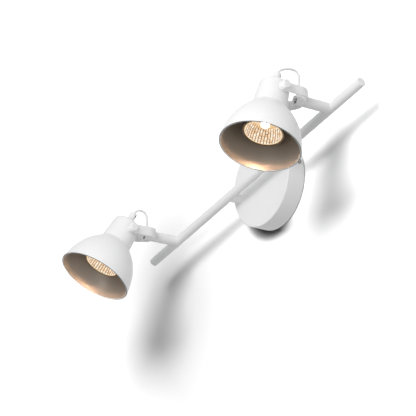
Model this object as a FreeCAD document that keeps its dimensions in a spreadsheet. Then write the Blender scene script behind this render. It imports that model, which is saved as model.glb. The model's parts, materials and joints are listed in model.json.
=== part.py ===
import FreeCAD, Part
import math
import os

import Sketcher

# Two-head spotlight wall light: a round wall canopy carries a straight bar on two posts.
# Near each end of the bar a short arm holds a bent strap yoke, and the shade tilts in the yoke.
# Frame, in millimetres: the origin is the centre of the canopy on the wall, X runs along the
# bar, the wall is the plane Y = 0 with the room on its -Y side, and Z is up.
# Two more frames carry the heads. A yoke frame has its origin where the arm ends, X through the
# yoke's legs and -Y along the arm's axis. A head frame has its origin on the tilt axis, X along
# that axis and +Z up the neck, away from the shade's mouth.

SIDES = ("left", "right")
TINY = 1e-5
FULL_TURN = 360
QUARTER_TURN = 90
NUT_SIDES = 6
KNOB_SIDES = 8
# Shares of the width, run, radius or height that a detail takes up
TIP_SHARE = 0.495
ARC_SHARE = 0.45
SADDLE_SHARE = 0.25
WIRE_SHARE = 1 / 3
# A cutter that goes right through is this many times as long as the wall
THROUGH = 3

# Driving dimensions, in millimetres and degrees: each one is a cell of the sheet "Sizes".
DIMENSIONS = {
    # wall bracket and canopy
    "canopy_diameter": 120.0,
    "canopy_depth": 25.5,
    "canopy_wall": 1.2,
    "canopy_edge_radius": 1.2,
    "canopy_wall_gap": 1.0,
    "bracket_thickness": 1.5,
    "bracket_width": 26.0,
    "bracket_lug_width": 12.0,
    "bracket_lug_depth": 15.0,
    "bracket_lug_clearance": 0.9,
    "bracket_bend_radius": 1.6,
    "wall_slot_spacing": 78.0,
    "wall_slot_width": 5.0,
    "wall_slot_length": 11.0,
    "supply_hole_diameter": 13.0,
    "supply_hole_offset": 19.0,
    "side_screw_height": 8.0,
    "side_screw_diameter": 4.0,
    "side_screw_length": 7.0,
    "side_screw_head_diameter": 6.4,
    "side_screw_head_height": 2.2,
    "screw_slot_width": 0.9,
    "screw_slot_depth": 0.8,
    "screw_clearance": 0.15,
    # terminals inside the canopy
    "terminal_length": 26.0,
    "terminal_width": 16.0,
    "terminal_height": 14.0,
    "terminal_offset": 9.0,
    "terminal_pitch": 8.0,
    "terminal_hole_diameter": 3.6,
    "terminal_screw_diameter": 3.0,
    "terminal_screw_inset": 4.2,
    "terminal_edge_radius": 1.0,
    "earth_screw_inset": 9.5,
    "earth_screw_diameter": 4.0,
    "earth_screw_head_diameter": 7.0,
    "earth_screw_head_height": 2.6,
    "earth_screw_reach": 0.75,
    # bar and the posts that hold it
    "bar_diameter": 12.0,
    "bar_wall": 1.0,
    "bar_length": 471.0,
    "bar_stand_off": 44.0,
    "plug_flange": 1.2,
    "plug_depth": 9.0,
    "plug_chamfer": 0.5,
    "plug_clearance": 0.1,
    "post_inset": 13.0,
    "post_diameter": 13.0,
    "post_bore_diameter": 5.0,
    "post_stud_diameter": 8.0,
    "post_stud_length": 9.0,
    "post_nut_width": 13.0,
    "post_nut_height": 4.0,
    "post_washer_diameter": 17.0,
    "post_washer_thickness": 1.0,
    # arms and swivels
    "arm_inset": 62.0,
    "arm_diameter": 13.5,
    "arm_reach": 40.2,
    "arm_bore_diameter": 10.0,
    "swivel_washer_diameter": 12.6,
    "swivel_washer_thickness": 0.8,
    "nipple_diameter": 9.8,
    "nipple_bore_diameter": 7.0,
    "nipple_inside_arm": 12.0,
    "nipple_inside_barrel": 4.6,
    "barrel_diameter": 13.0,
    "barrel_length": 10.5,
    "barrel_edge": 0.6,
    "barrel_slot_width": 3.8,
    "barrel_slot_depth": 5.9,
    # yoke
    "yoke_reach": 46.0,
    "strap_width": 12.4,
    "strap_thickness": 2.0,
    "strap_back_flat": 6.0,
    "strap_leg_gap": 40.8,
    "pivot_screw_diameter": 4.0,
    "pivot_clearance": 0.1,
    "pivot_washer_diameter": 9.0,
    "pivot_washer_thickness": 0.4,
    "pivot_bush_diameter": 8.0,
    "pivot_bush_length": 5.5,
    "pivot_screw_inside": 4.5,
    "knob_diameter": 11.0,
    "knob_height": 7.0,
    "knob_edge_radius": 1.4,
    "knob_across_flats": 10.6,
    # shade
    "shade_wall": 1.2,
    "rim_diameter": 98.2,
    "rim_drop": 79.6,
    "rim_bead": 1.2,
    "rim_bead_height": 2.2,
    "dome_radius": 76.0,
    "neck_base_diameter": 42.8,
    "neck_base_drop": 24.0,
    "neck_top_diameter": 37.8,
    "neck_rise": 13.4,
    "neck_edge_radius": 5.0,
    # cable grip on the neck
    "grip_diameter": 9.6,
    "grip_height": 17.0,
    "grip_edge_radius": 1.6,
    "grip_foot_diameter": 12.0,
    "grip_foot_height": 1.6,
    "grip_screw_diameter": 3.0,
    "grip_screw_length": 3.4,
    "grip_screw_drop": 4.6,
    "grip_screw_proud": 0.1,
    "grip_screw_angle": 40.0,
    "cable_diameter": 3.0,
    "cable_hole_diameter": 3.6,
    # lampholder and its fixings
    "holder_nipple_diameter": 8.0,
    "holder_nipple_bore": 5.0,
    "holder_nipple_above": 5.0,
    "holder_nut_width": 11.0,
    "holder_nut_height": 2.6,
    "holder_plate_length": 25.0,
    "holder_plate_width": 11.0,
    "holder_plate_thickness": 1.2,
    "holder_diameter": 26.0,
    "holder_height": 19.0,
    "holder_boss_diameter": 5.0,
    "holder_screw_spacing": 18.0,
    "holder_screw_diameter": 2.6,
    "holder_screw_length": 8.0,
    "holder_screw_head_diameter": 4.8,
    "holder_screw_head_height": 1.4,
    "holder_pin_hole_diameter": 5.6,
    "holder_pin_hole_depth": 8.5,
    # lamp
    "lamp_face_drop": 60.0,
    "lamp_diameter": 50.0,
    "lamp_rim_height": 3.6,
    "lamp_glass_thickness": 1.6,
    "lamp_wall": 1.3,
    "lamp_bowl_depth": 27.0,
    "lamp_bowl_radius": 30.0,
    "lamp_throat_diameter": 17.0,
    "lamp_throat_height": 3.4,
    "lamp_rim_step": 0.9,
    "lamp_base_length": 18.0,
    "lamp_base_width": 13.0,
    "lamp_base_height": 13.0,
    "lamp_pin_spacing": 10.0,
    "lamp_pin_diameter": 3.0,
    "lamp_pin_head_diameter": 5.0,
    "lamp_pin_head_height": 2.0,
    "lamp_pin_length": 7.0,
    "capsule_diameter": 10.0,
    "capsule_length": 26.0,
    # rest pose, as photographed: swing of the yoke about the arm and tilt of the head from
    # straight ahead
    "left_swing": -18.7,
    "right_swing": -8.5,
    "left_tilt": 60.3,
    "right_tilt": 72.0,
    "fine_gap": 0.3,
}

# Routes of the two free cable loops in the yoke frame: distance in front of the arm's end and
# height above the arm's axis, from the grip down into the slot of the barrel.
CABLE_ROUTES = {
    "left": (
        (30.9, 26.4), (28.6, 30.4), (24.6, 35.6), (18.4, 39.8), (10.8, 40.2), (4.9, 36.2),
        (3.0, 29.2), (4.6, 21.8), (7.6, 14.8), (9.4, 8.4), (9.4, 3.6), (6.6, 0.6), (1.0, 0.0),
    ),
    "right": (
        (36.6, 29.0), (35.2, 33.4), (31.4, 38.6), (24.8, 41.6), (17.0, 42.2), (9.6, 40.6),
        (4.2, 35.6), (3.0, 28.6), (4.8, 21.4), (7.6, 14.8), (9.4, 8.4), (9.4, 3.6), (6.6, 0.6),
        (1.0, 0.0),
    ),
}


class Size:
    """A number that keeps the sheet formula it was worked out by."""

    def __init__(self, value, text=None):
        self.value = float(value)
        self.text = text or f"{self.value:.9g}"

    @staticmethod
    def of(other):
        return other if isinstance(other, Size) else Size(other)

    def join(self, other, sign, value):
        return Size(value, f"({self.text} {sign} {other.text})")

    def __add__(self, other):
        other = Size.of(other)
        return self.join(other, "+", self.value + other.value)

    def __radd__(self, other):
        return Size.of(other) + self

    def __sub__(self, other):
        other = Size.of(other)
        return self.join(other, "-", self.value - other.value)

    def __rsub__(self, other):
        return Size.of(other) - self

    def __mul__(self, other):
        other = Size.of(other)
        return self.join(other, "*", self.value * other.value)

    def __rmul__(self, other):
        return Size.of(other) * self

    def __truediv__(self, other):
        other = Size.of(other)
        return self.join(other, "/", self.value / other.value)

    def __rtruediv__(self, other):
        return Size.of(other) / self

    def __neg__(self):
        return Size(-self.value, f"(-1 * {self.text})")


def root_of(size):
    """Square root of a size."""
    return Size(math.sqrt(size.value), f"sqrt({size.text})")


doc = FreeCAD.newDocument("SpotlightWallLight")
sheet = doc.addObject("Spreadsheet::Sheet", "Sizes")


class Sizes:
    """The sheet's cells by name."""

    def __init__(self, dimensions):
        for row, (name, value) in enumerate(dimensions.items(), start=1):
            sheet.set(f"A{row}", name)
            sheet.set(f"B{row}", str(value))
            sheet.setAlias(f"B{row}", name)
            setattr(self, name, Size(value, f"Sizes.{name}"))
        doc.recompute()


size = Sizes(DIMENSIONS)
parts = {}

AXES = {
    "+X": FreeCAD.Vector(1, 0, 0),
    "-X": FreeCAD.Vector(-1, 0, 0),
    "+Y": FreeCAD.Vector(0, 1, 0),
    "-Y": FreeCAD.Vector(0, -1, 0),
    "+Z": FreeCAD.Vector(0, 0, 1),
    "-Z": FreeCAD.Vector(0, 0, -1),
}


def vector(x=0, y=0, z=0):
    return FreeCAD.Vector(*(Size.of(value).value for value in (x, y, z)))


def place(thing, at=(0, 0, 0), rotation=None):
    """Puts a feature at a point whose coordinates stay bound to the sheet."""
    thing.Placement = FreeCAD.Placement(vector(*at), rotation or FreeCAD.Rotation())
    for name, value in zip("xyz", at):
        if isinstance(value, Size):
            thing.setExpression(f".Placement.Base.{name}", value.text)
    return thing


def bind(thing, **values):
    """Sets sizes of a feature and binds each one to its formula."""
    for name, value in values.items():
        value = Size.of(value)
        setattr(thing, name, value.value)
        thing.setExpression(name, value.text)
    return thing


def turn_to(axis):
    """Rotation that turns +Z to the named axis."""
    return FreeCAD.Rotation(AXES["+Z"], AXES[axis])


def cylinder(name, diameter, height, at=(0, 0, 0), axis="+Z"):
    thing = doc.addObject("Part::Cylinder", name)
    bind(thing, Radius=Size.of(diameter) / 2, Height=height)
    return place(thing, at, turn_to(axis))


def box(name, length, width, height, at=(0, 0, 0)):
    """A box centred on a point."""
    thing = doc.addObject("Part::Box", name)
    bind(thing, Length=length, Width=width, Height=height)
    corner = [Size.of(place_at) - Size.of(side) / 2 for place_at, side in zip(at, (length, width, height))]
    return place(thing, corner)


def round_flats(width, sides):
    """Radius of the circle through the corners of a polygon with that width across its flats."""
    return Size.of(width) / (2 * math.cos(math.pi / sides))


def nut(name, width, height, at, axis):
    """A hexagon prism with the given width across its flats."""
    thing = doc.addObject("Part::Prism", name)
    thing.Polygon = NUT_SIDES
    bind(thing, Circumradius=round_flats(width, NUT_SIDES), Height=height)
    return place(thing, at, turn_to(axis))


def cut(name, base, *tools):
    tool = tools[0] if len(tools) == 1 else fuse(f"{name}_cutters", *tools)
    thing = doc.addObject("Part::Cut", name)
    thing.Base = base
    thing.Tool = tool
    return thing


def fuse(name, *things):
    thing = doc.addObject("Part::MultiFuse", name)
    thing.Shapes = list(things)
    return thing


def common(name, *things):
    thing = doc.addObject("Part::MultiCommon", name)
    thing.Shapes = list(things)
    return thing


def together(name, *things):
    """Separate solids that share one node."""
    thing = doc.addObject("Part::Compound", name)
    thing.Links = list(things)
    return thing


def keep(thing, node, frame=None):
    """Names a finished piece and stands it in its frame, a point and a rotation."""
    thing.Label = node
    if frame is not None:
        place(thing, *frame)
    parts[node] = thing
    return thing


def plane_of(body, role):
    return next(item for item in body.Origin.OriginFeatures if item.Role == role)


def arc_between(start, end, radius):
    """Arc from start to end: a positive radius bulges to the right of the way."""
    chord = end - start
    half = chord.Length / 2
    rise = abs(radius) - math.sqrt(max(radius * radius - half * half, 0.0))
    right = FreeCAD.Vector(chord.y, -chord.x, 0).normalize()
    middle = (start + end) / 2 + right * math.copysign(rise, radius)
    return Part.Arc(start, middle, end)


def pin_point(sketch, geo, pos, x, y, name):
    """Binds one end of a sketch edge to its coordinates."""
    for kind, value, axis in (("DistanceX", x, -2), ("DistanceY", y, -1)):
        value = Size.of(value)
        if value.value == 0:
            sketch.addConstraint(Sketcher.Constraint("PointOnObject", geo, pos, axis))
            continue
        ends = (-1, 1, geo, pos) if value.value > 0 else (geo, pos, -1, 1)
        length = value if value.value > 0 else -value
        index = sketch.addConstraint(Sketcher.Constraint(kind, *ends, length.value))
        label = f"{name}_{kind[-1].lower()}"
        sketch.renameConstraint(index, label)
        sketch.setExpression(f"Constraints.{label}", length.text)


def sketch_on(body, role, corners, name="outline"):
    """A closed outline whose corners and arc radii are bound to the sheet.

    Each corner is (x, y), or (x, y, radius) where the edge that leaves it is an arc.
    """
    sketch = body.newObject("Sketcher::SketchObject", name)
    sketch.AttachmentSupport = [(plane_of(body, role), "")]
    sketch.MapMode = "FlatFace"
    points = [vector(corner[0], corner[1]) for corner in corners]
    starts, ends = [], []
    for index, corner in enumerate(corners):
        start, end = points[index], points[(index + 1) % len(corners)]
        if len(corner) == 3:
            geo = sketch.addGeometry(arc_between(start, end, corner[2].value), False)
        else:
            geo = sketch.addGeometry(Part.LineSegment(start, end), False)
        first = 1 if sketch.getPoint(geo, 1).distanceToPoint(start) < TINY else 2
        starts.append((geo, first))
        ends.append((geo, 3 - first))
        if len(corner) == 3:
            number = sketch.addConstraint(Sketcher.Constraint("Radius", geo, abs(corner[2].value)))
            sketch.renameConstraint(number, f"radius_{index}")
            length = corner[2] if corner[2].value > 0 else -corner[2]
            sketch.setExpression(f"Constraints.radius_{index}", length.text)
    for index, corner in enumerate(corners):
        pin_point(sketch, *starts[index], corner[0], corner[1], f"corner_{index}")
        sketch.addConstraint(Sketcher.Constraint("Coincident", *ends[index - 1], *starts[index]))
    return sketch


def body_named(name):
    return doc.addObject("PartDesign::Body", name)


def revolved(name, role, corners):
    """A body turned from an outline about its plane's upright axis."""
    body = body_named(name)
    sketch = sketch_on(body, role, corners)
    turn = body.newObject("PartDesign::Revolution", "turn")
    turn.Profile = sketch
    turn.ReferenceAxis = (sketch, ["V_Axis"])
    turn.Angle = FULL_TURN
    sketch.Visibility = False
    return body


def padded(name, role, corners, length):
    """A body of one outline, pulled out equally to both sides of its plane."""
    body = body_named(name)
    sketch = sketch_on(body, role, corners)
    pad = body.newObject("PartDesign::Pad", "pad")
    pad.Profile = sketch
    pad.Midplane = True
    bind(pad, Length=length)
    return body


def round_edges(body, radius, wanted):
    """Fillets the edges of a body's tip that pass the test."""
    doc.recompute()
    base = body.Tip
    names = [f"Edge{number}" for number, edge in enumerate(base.Shape.Edges, start=1) if wanted(edge)]
    fillet = body.newObject("PartDesign::Fillet", "fillet")
    fillet.Base = (base, names)
    bind(fillet, Radius=radius)
    return body


def screw(name, diameter, length, head_diameter, head_height, at, axis):
    """A slotted cheese-head screw: the underside of its head is at the point."""
    back = {"+X": "-X", "-X": "+X", "+Y": "-Y", "-Y": "+Y", "+Z": "-Z", "-Z": "+Z"}[axis]
    shank = cylinder(f"{name}_shank", diameter, length, at, back)
    head = cylinder(f"{name}_head", head_diameter, head_height, at, axis)
    way = AXES[axis]
    middle = [
        Size.of(value) + (head_height - size.screw_slot_depth / 2) * component
        for value, component in zip(at, way)
    ]
    across = size.screw_slot_width
    sides = {
        "X": (size.screw_slot_depth, across, head_diameter * 2),
        "Y": (across, size.screw_slot_depth, head_diameter * 2),
        "Z": (head_diameter * 2, across, size.screw_slot_depth),
    }[axis[1]]
    return cut(name, fuse(f"{name}_blank", head, shank), box(f"{name}_slot", *sides, middle))


# Shared places
canopy_radius = size.canopy_diameter / 2
canopy_face = size.canopy_wall_gap + size.canopy_depth
canopy_inside = canopy_radius - size.canopy_wall
earth_across = size.wall_slot_spacing / 2 - size.earth_screw_inset
bar_radius = size.bar_diameter / 2
post_across = canopy_radius - size.post_inset
arm_across = size.bar_length / 2 - size.arm_inset
bar_bore = size.bar_diameter - size.bar_wall * 2
saddle_drop = bar_radius * SADDLE_SHARE
arm_end = size.bar_stand_off + size.arm_reach
strap_back = arm_end + size.swivel_washer_thickness
half_gap = size.strap_leg_gap / 2
half_outside = half_gap + size.strap_thickness
neck_top = size.neck_rise
neck_inside_top = neck_top - size.shade_wall
grip_top = neck_top + size.grip_height


def side_sign(side):
    return -1 if side == "left" else 1


def yoke_frame(side):
    """Frame at the arm's end, swung about the arm's axis to the rest pose."""
    swing = getattr(size, f"{side}_swing").value
    seat = (side_sign(side) * arm_across, -strap_back, 0)
    return seat, FreeCAD.Rotation(AXES["+Y"], -swing)


def head_frame(side):
    """Frame on the tilt axis, tilted from straight ahead to the rest pose."""
    tilt = getattr(size, f"{side}_tilt").value
    (across, back, _), swung = yoke_frame(side)
    pivot = (across, back - size.yoke_reach, 0)
    return pivot, swung.multiply(FreeCAD.Rotation(AXES["+X"], tilt - QUARTER_TURN))


# Wall bracket, canopy and what the canopy hides
def make_bracket():
    """Folded steel strip: two lugs take the canopy's side screws, two slots take the wall screws."""
    end = canopy_inside - size.bracket_lug_clearance
    thick = size.bracket_thickness
    inner = size.bracket_bend_radius
    outer = inner + thick
    depth = size.bracket_lug_depth
    corners = [
        (outer - end, 0), (end - outer, 0, -outer), (end, -outer), (end, -depth),
        (end - thick, -depth), (end - thick, -outer, inner), (end - outer, -thick),
        (outer - end, -thick, inner), (thick - end, -outer), (thick - end, -depth),
        (-end, -depth), (-end, -outer, -outer),
    ]
    strip = padded("bracket_strip", "XY_Plane", corners, size.bracket_width)
    cutters = []
    notch = (size.bracket_width - size.bracket_lug_width) / 2
    reach = outer * 2
    for sign_x in (-1, 1):
        for sign_z in (-1, 1):
            at = (sign_x * end, -depth / 2, sign_z * (size.bracket_lug_width + notch * 2) / 2)
            cutters.append(box("lug_notch", reach, depth * 2, notch * 2, at))
        cutters.append(cylinder("lug_hole", size.side_screw_diameter + size.screw_clearance,
                                outer * 2, (sign_x * (end - outer), -size.side_screw_height, 0),
                                "+X" if sign_x > 0 else "-X"))
        cutters.append(wall_slot(sign_x))
    cutters.append(cylinder("supply_hole", size.supply_hole_diameter, thick * THROUGH,
                            (-size.supply_hole_offset, thick, 0), "-Y"))
    cutters.append(cylinder("earth_hole", size.earth_screw_diameter, thick * THROUGH,
                            (-earth_across, thick, 0), "-Y"))
    keep(cut("bracket", strip, *cutters), "wall_bracket")


def wall_slot(sign_x):
    """Cutter for one slot, lying along X."""
    middle = sign_x * size.wall_slot_spacing / 2
    straight = size.wall_slot_length - size.wall_slot_width
    deep = size.bracket_thickness * THROUGH
    ends = [
        cylinder("slot_end", size.wall_slot_width, deep, (middle + shift, deep / 2, 0), "-Y")
        for shift in (-straight / 2, straight / 2)
    ]
    return fuse("wall_slot", box("slot_middle", straight, deep, size.wall_slot_width, (middle, 0, 0)), *ends)


def make_canopy():
    """Spun drum with a flat face, open to the wall."""
    edge = size.canopy_edge_radius
    inner_edge = edge / 2
    wall = size.canopy_wall
    corners = [
        (0, -canopy_face), (canopy_radius - edge, -canopy_face, edge),
        (canopy_radius, edge - canopy_face), (canopy_radius, -size.canopy_wall_gap),
        (canopy_inside, -size.canopy_wall_gap),
        (canopy_inside, wall + inner_edge - canopy_face, -inner_edge),
        (canopy_inside - inner_edge, wall - canopy_face), (0, wall - canopy_face),
    ]
    drum = revolved("canopy_drum", "XY_Plane", corners)
    cutters = []
    for sign_x, axis in ((-1, "-X"), (1, "+X")):
        cutters.append(cylinder("stud_hole", size.post_stud_diameter, wall * THROUGH,
                                (sign_x * post_across, wall - canopy_face + wall, 0), "-Y"))
        cutters.append(cylinder("side_hole", size.side_screw_diameter + size.screw_clearance * 2,
                                wall * THROUGH, (sign_x * (canopy_inside - wall), -size.side_screw_height, 0),
                                axis))
    keep(cut("canopy", drum, *cutters), "canopy_shell")


def make_side_screws():
    screws = [
        screw("side_screw", size.side_screw_diameter, size.side_screw_length,
              size.side_screw_head_diameter, size.side_screw_head_height,
              (sign_x * canopy_radius, -size.side_screw_height, 0), axis)
        for sign_x, axis in ((-1, "-X"), (1, "+X"))
    ]
    keep(together("side_screws", *screws), "canopy_side_screws")


def make_terminals():
    """Three-way terminal block on the bracket, its clamping screws and the earth screw."""
    front = size.bracket_thickness + size.terminal_height
    block = box("terminal_blank", size.terminal_length, size.terminal_height, size.terminal_width,
                (size.terminal_offset, -size.bracket_thickness - size.terminal_height / 2, 0))
    cutters, screws = [], []
    for way in (-1, 0, 1):
        across = size.terminal_offset + way * size.terminal_pitch
        wire_depth = size.bracket_thickness + size.terminal_height * WIRE_SHARE
        cutters.append(cylinder("wire_way", size.terminal_hole_diameter, size.terminal_width * 2,
                                (across, -wire_depth, -size.terminal_width), "+Z"))
        for height in (-1, 1):
            at = (across, -front, height * size.terminal_screw_inset)
            depth = size.terminal_height / 2
            cutters.append(cylinder("screw_well", size.terminal_screw_diameter, depth,
                                    at, "+Y"))
            sunk = (at[0], size.terminal_edge_radius - front, at[2])
            screws.append(cylinder("terminal_screw", size.terminal_screw_diameter,
                                   depth - size.terminal_edge_radius, sunk, "+Y"))
    keep(cut("terminals", block, *cutters), "terminal_block")
    keep(together("clamping_screws", *screws), "terminal_screws")
    keep(screw("earth", size.earth_screw_diameter, size.bracket_thickness + size.earth_screw_reach,
               size.earth_screw_head_diameter, size.earth_screw_head_height,
               (-earth_across, -size.bracket_thickness, 0), "-Y"), "earth_screw")


# Bar, posts and arms
def bar_cutter(diameter=None):
    """A long cylinder along the bar's axis."""
    return cylinder("bar_room", diameter or size.bar_diameter, size.bar_length * 2,
                    (-size.bar_length, -size.bar_stand_off, 0), "+X")


def make_bar():
    """Straight tube with holes where the posts and the arms bring the leads in."""
    length = size.bar_length - size.plug_flange * 2
    tube = cylinder("bar_blank", size.bar_diameter, length, (-length / 2, -size.bar_stand_off, 0), "+X")
    cutters = [bar_cutter(bar_bore)]
    for sign_x in (-1, 1):
        cutters.append(cylinder("arm_port", size.arm_bore_diameter - size.bar_wall * 2, size.bar_diameter,
                                (sign_x * arm_across, -size.bar_stand_off, 0), "-Y"))
        cutters.append(cylinder("post_port", size.post_bore_diameter, size.bar_diameter,
                                (sign_x * post_across, -size.bar_stand_off, 0), "+Y"))
    keep(cut("bar", tube, *cutters), "bar_tube")


def make_plug(side):
    """Push-in end plug of the bar: a flange with a softened rim and a spigot."""
    flange = size.plug_flange
    rim = bar_radius - size.plug_chamfer
    spigot = bar_bore / 2 - size.plug_clearance
    corners = [
        (0, 0), (rim, 0), (bar_radius, -size.plug_chamfer), (bar_radius, -flange),
        (spigot, -flange), (spigot, -flange - size.plug_depth), (0, -flange - size.plug_depth),
    ]
    plug = revolved(f"plug_{side}", "XZ_Plane", corners)
    sign_x = side_sign(side)
    outward = turn_to("+X" if sign_x > 0 else "-X")
    seat = (sign_x * size.bar_length / 2, -size.bar_stand_off, 0)
    keep(plug, f"bar_end_plug_{side}", (seat, outward))


def make_posts():
    """Two turned posts, saddled to the bar, with hollow studs through the canopy's face."""
    nuts, washers = [], []
    stud_start = canopy_face - size.canopy_wall
    for side in SIDES:
        across = side_sign(side) * post_across
        tip = size.bar_stand_off - saddle_drop
        post = cylinder("post_blank", size.post_diameter, tip - canopy_face, (across, -canopy_face, 0), "-Y")
        stud_end = size.post_stud_length - size.canopy_wall
        stud = cylinder("post_stud", size.post_stud_diameter, size.post_stud_length,
                        (across, stud_end - stud_start, 0), "-Y")
        bore = cylinder("post_bore", size.post_bore_diameter, size.bar_stand_off * 2, (across, 0, 0), "-Y")
        keep(cut(f"post_{side}", fuse("post_and_stud", post, stud), bar_cutter(), bore), f"bar_post_{side}")
        washer = cylinder("washer_blank", size.post_washer_diameter, size.post_washer_thickness,
                          (across, -stud_start, 0), "+Y")
        hole = cylinder("washer_hole", size.post_stud_diameter, size.bar_stand_off, (across, 0, 0), "-Y")
        washers.append(cut("post_washer", washer, hole))
        blank = nut("nut_blank", size.post_nut_width, size.post_nut_height,
                    (across, size.post_washer_thickness - stud_start, 0), "+Y")
        thread = cylinder("nut_hole", size.post_stud_diameter, size.bar_stand_off, (across, 0, 0), "-Y")
        nuts.append(cut("post_nut", blank, thread))
    keep(together("stud_nuts", *nuts), "post_nuts")
    keep(together("stud_washers", *washers), "post_washers")


def make_arm(side):
    """Tube saddled to the front of the bar, bored for the swivel nipple, and its washer."""
    across = side_sign(side) * arm_across
    start = size.bar_stand_off + saddle_drop
    tube = cylinder("arm_blank", size.arm_diameter, arm_end - start, (across, -start, 0), "-Y")
    bore = cylinder("arm_bore", size.arm_bore_diameter, arm_end, (across, -size.bar_stand_off, 0), "-Y")
    keep(cut(f"arm_tube_{side}", tube, bar_cutter(), bore), f"arm_{side}")
    ring = cylinder("ring_blank", size.swivel_washer_diameter, size.swivel_washer_thickness,
                    (across, -arm_end, 0), "-Y")
    hole = cylinder("ring_hole", size.nipple_diameter + size.fine_gap * 2, arm_end,
                    (across, -arm_end / 2, 0), "-Y")
    keep(cut(f"swivel_ring_{side}", ring, hole), f"swivel_washer_{side}")


# Yoke and swivel
def make_strap(side):
    """Flat strap bent to a stirrup, with round tips drilled for the pivot screws."""
    flat = size.strap_back_flat / 2
    thick = size.strap_thickness
    bend = half_outside - flat
    tip = size.yoke_reach + size.strap_width / 2
    corners = [
        (-flat, 0), (flat, 0, -bend), (half_outside, -bend), (half_outside, -tip),
        (half_gap, -tip), (half_gap, -bend, bend - thick), (flat, -thick),
        (-flat, -thick, bend - thick), (-half_gap, -bend), (-half_gap, -tip),
        (-half_outside, -tip), (-half_outside, -bend, -bend),
    ]
    strap = padded(f"strap_blank_{side}", "XY_Plane", corners, size.strap_width)
    tip_line = -tip.value

    def at_tip(edge):
        ends = [vertex.Point for vertex in edge.Vertexes]
        return all(abs(end.y - tip_line) < TINY for end in ends) and abs(ends[0].z - ends[1].z) < TINY

    round_edges(strap, size.strap_width * TIP_SHARE, at_tip)
    across = half_outside * 2
    holes = [
        cylinder("pivot_hole", size.pivot_screw_diameter + size.pivot_clearance * 2, across * 2,
                 (-across, -size.yoke_reach, 0), "+X"),
        cylinder("nipple_hole", size.nipple_diameter, thick * THROUGH, (0, thick, 0), "-Y"),
    ]
    keep(cut(f"strap_{side}", strap, *holes), f"yoke_strap_{side}", yoke_frame(side))
    return strap


def make_barrel(side, strap):
    """Barrel nut inside the yoke: coped to the strap's bend, with a slot that lets the cable in."""
    start = size.strap_thickness
    front = start + size.barrel_length
    radius = size.barrel_diameter / 2
    edge = size.barrel_edge
    bore = size.nipple_bore_diameter / 2
    thread = size.nipple_diameter / 2
    step = start + size.nipple_inside_barrel
    corners = [
        (thread, -start), (radius, -start), (radius, edge - front), (radius - edge, -front),
        (bore + edge, -front), (bore, edge - front), (bore, -step), (thread, -step),
    ]
    barrel = revolved(f"barrel_blank_{side}", "XY_Plane", corners)
    slot = box("cable_slot", size.barrel_slot_width, size.barrel_slot_depth * 2, radius * 2,
               (0, -front, radius))
    keep(cut(f"barrel_{side}", barrel, slot, strap), f"swivel_barrel_{side}", yoke_frame(side))


def make_nipple(side):
    """Hollow threaded nipple from the arm through the yoke's back into the barrel."""
    length = size.nipple_inside_arm + size.strap_thickness + size.nipple_inside_barrel
    rod = cylinder("nipple_blank", size.nipple_diameter, length, (0, size.nipple_inside_arm, 0), "-Y")
    bore = cylinder("nipple_bore", size.nipple_bore_diameter, length * 2, (0, length, 0), "-Y")
    keep(cut(f"nipple_{side}", rod, bore), f"swivel_nipple_{side}", yoke_frame(side))


# Head: shade and pivots
def make_shade(side):
    """Spun shade: a rolled rim, a full dome and a slightly tapered neck with a round shoulder."""
    wall = size.shade_wall
    bead = size.rim_bead
    half_bead = size.rim_bead_height / 2
    dome_foot = size.rim_diameter / 2 - (bead - root_of(bead * bead - half_bead * half_bead))
    bead_top = size.rim_bead_height - size.rim_drop
    base = size.neck_base_diameter / 2
    top = size.neck_top_diameter / 2
    shoulder = size.neck_edge_radius
    hole = size.holder_nipple_diameter / 2
    corners = [
        (dome_foot - wall, -size.rim_drop), (dome_foot, -size.rim_drop, bead),
        (dome_foot, bead_top, size.dome_radius), (base, -size.neck_base_drop),
        (top, neck_top - shoulder, shoulder), (top - shoulder, neck_top),
        (hole, neck_top), (hole, neck_inside_top), (top - shoulder, neck_inside_top, wall - shoulder),
        (top - wall, neck_top - shoulder), (base - wall, -size.neck_base_drop - wall / 2,
                                            wall - size.dome_radius),
        (dome_foot - wall, bead_top),
    ]
    shell = revolved(f"shade_shell_{side}", "XZ_Plane", corners)
    across = size.neck_base_diameter
    pivots = cylinder("bush_holes", size.pivot_bush_diameter, across * 2, (-across, 0, 0), "+X")
    keep(cut(f"shade_{side}_cut", shell, pivots), f"shade_{side}", head_frame(side))


def make_pivots(side):
    """The tilt pivots: threaded bushes in the neck, nylon washers and knobs with their screws."""
    seat = half_gap - size.pivot_clearance - size.pivot_washer_thickness
    knob_seat = half_outside + size.pivot_clearance
    shank_end = seat - size.pivot_screw_inside
    bushes, washers, knobs = [], [], []
    for axis, sign_x in (("-X", -1), ("+X", 1)):
        inward = "+X" if sign_x < 0 else "-X"
        thread = cylinder("bush_thread", size.pivot_screw_diameter, half_gap * 2, (0, 0, 0), axis)
        blank = cylinder("bush_blank", size.pivot_bush_diameter, size.pivot_bush_length,
                         (sign_x * seat, 0, 0), inward)
        bushes.append(cut("bush", blank, thread))
        room = cylinder("washer_room", size.pivot_screw_diameter + size.pivot_clearance * 2,
                        half_gap * 2, (0, 0, 0), axis)
        ring = cylinder("washer_ring", size.pivot_washer_diameter, size.pivot_washer_thickness,
                        (sign_x * seat, 0, 0), axis)
        washers.append(cut("washer", ring, room))
        knobs.append(make_knob(f"knob_{axis[1]}{sign_x}", axis, sign_x * knob_seat,
                               knob_seat - shank_end))
    keep(together(f"bushes_{side}", *bushes), f"pivot_bushes_{side}", head_frame(side))
    keep(together(f"washers_{side}", *washers), f"pivot_washers_{side}", head_frame(side))
    keep(together(f"knobs_{side}", *knobs), f"pivot_knobs_{side}", head_frame(side))


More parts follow.
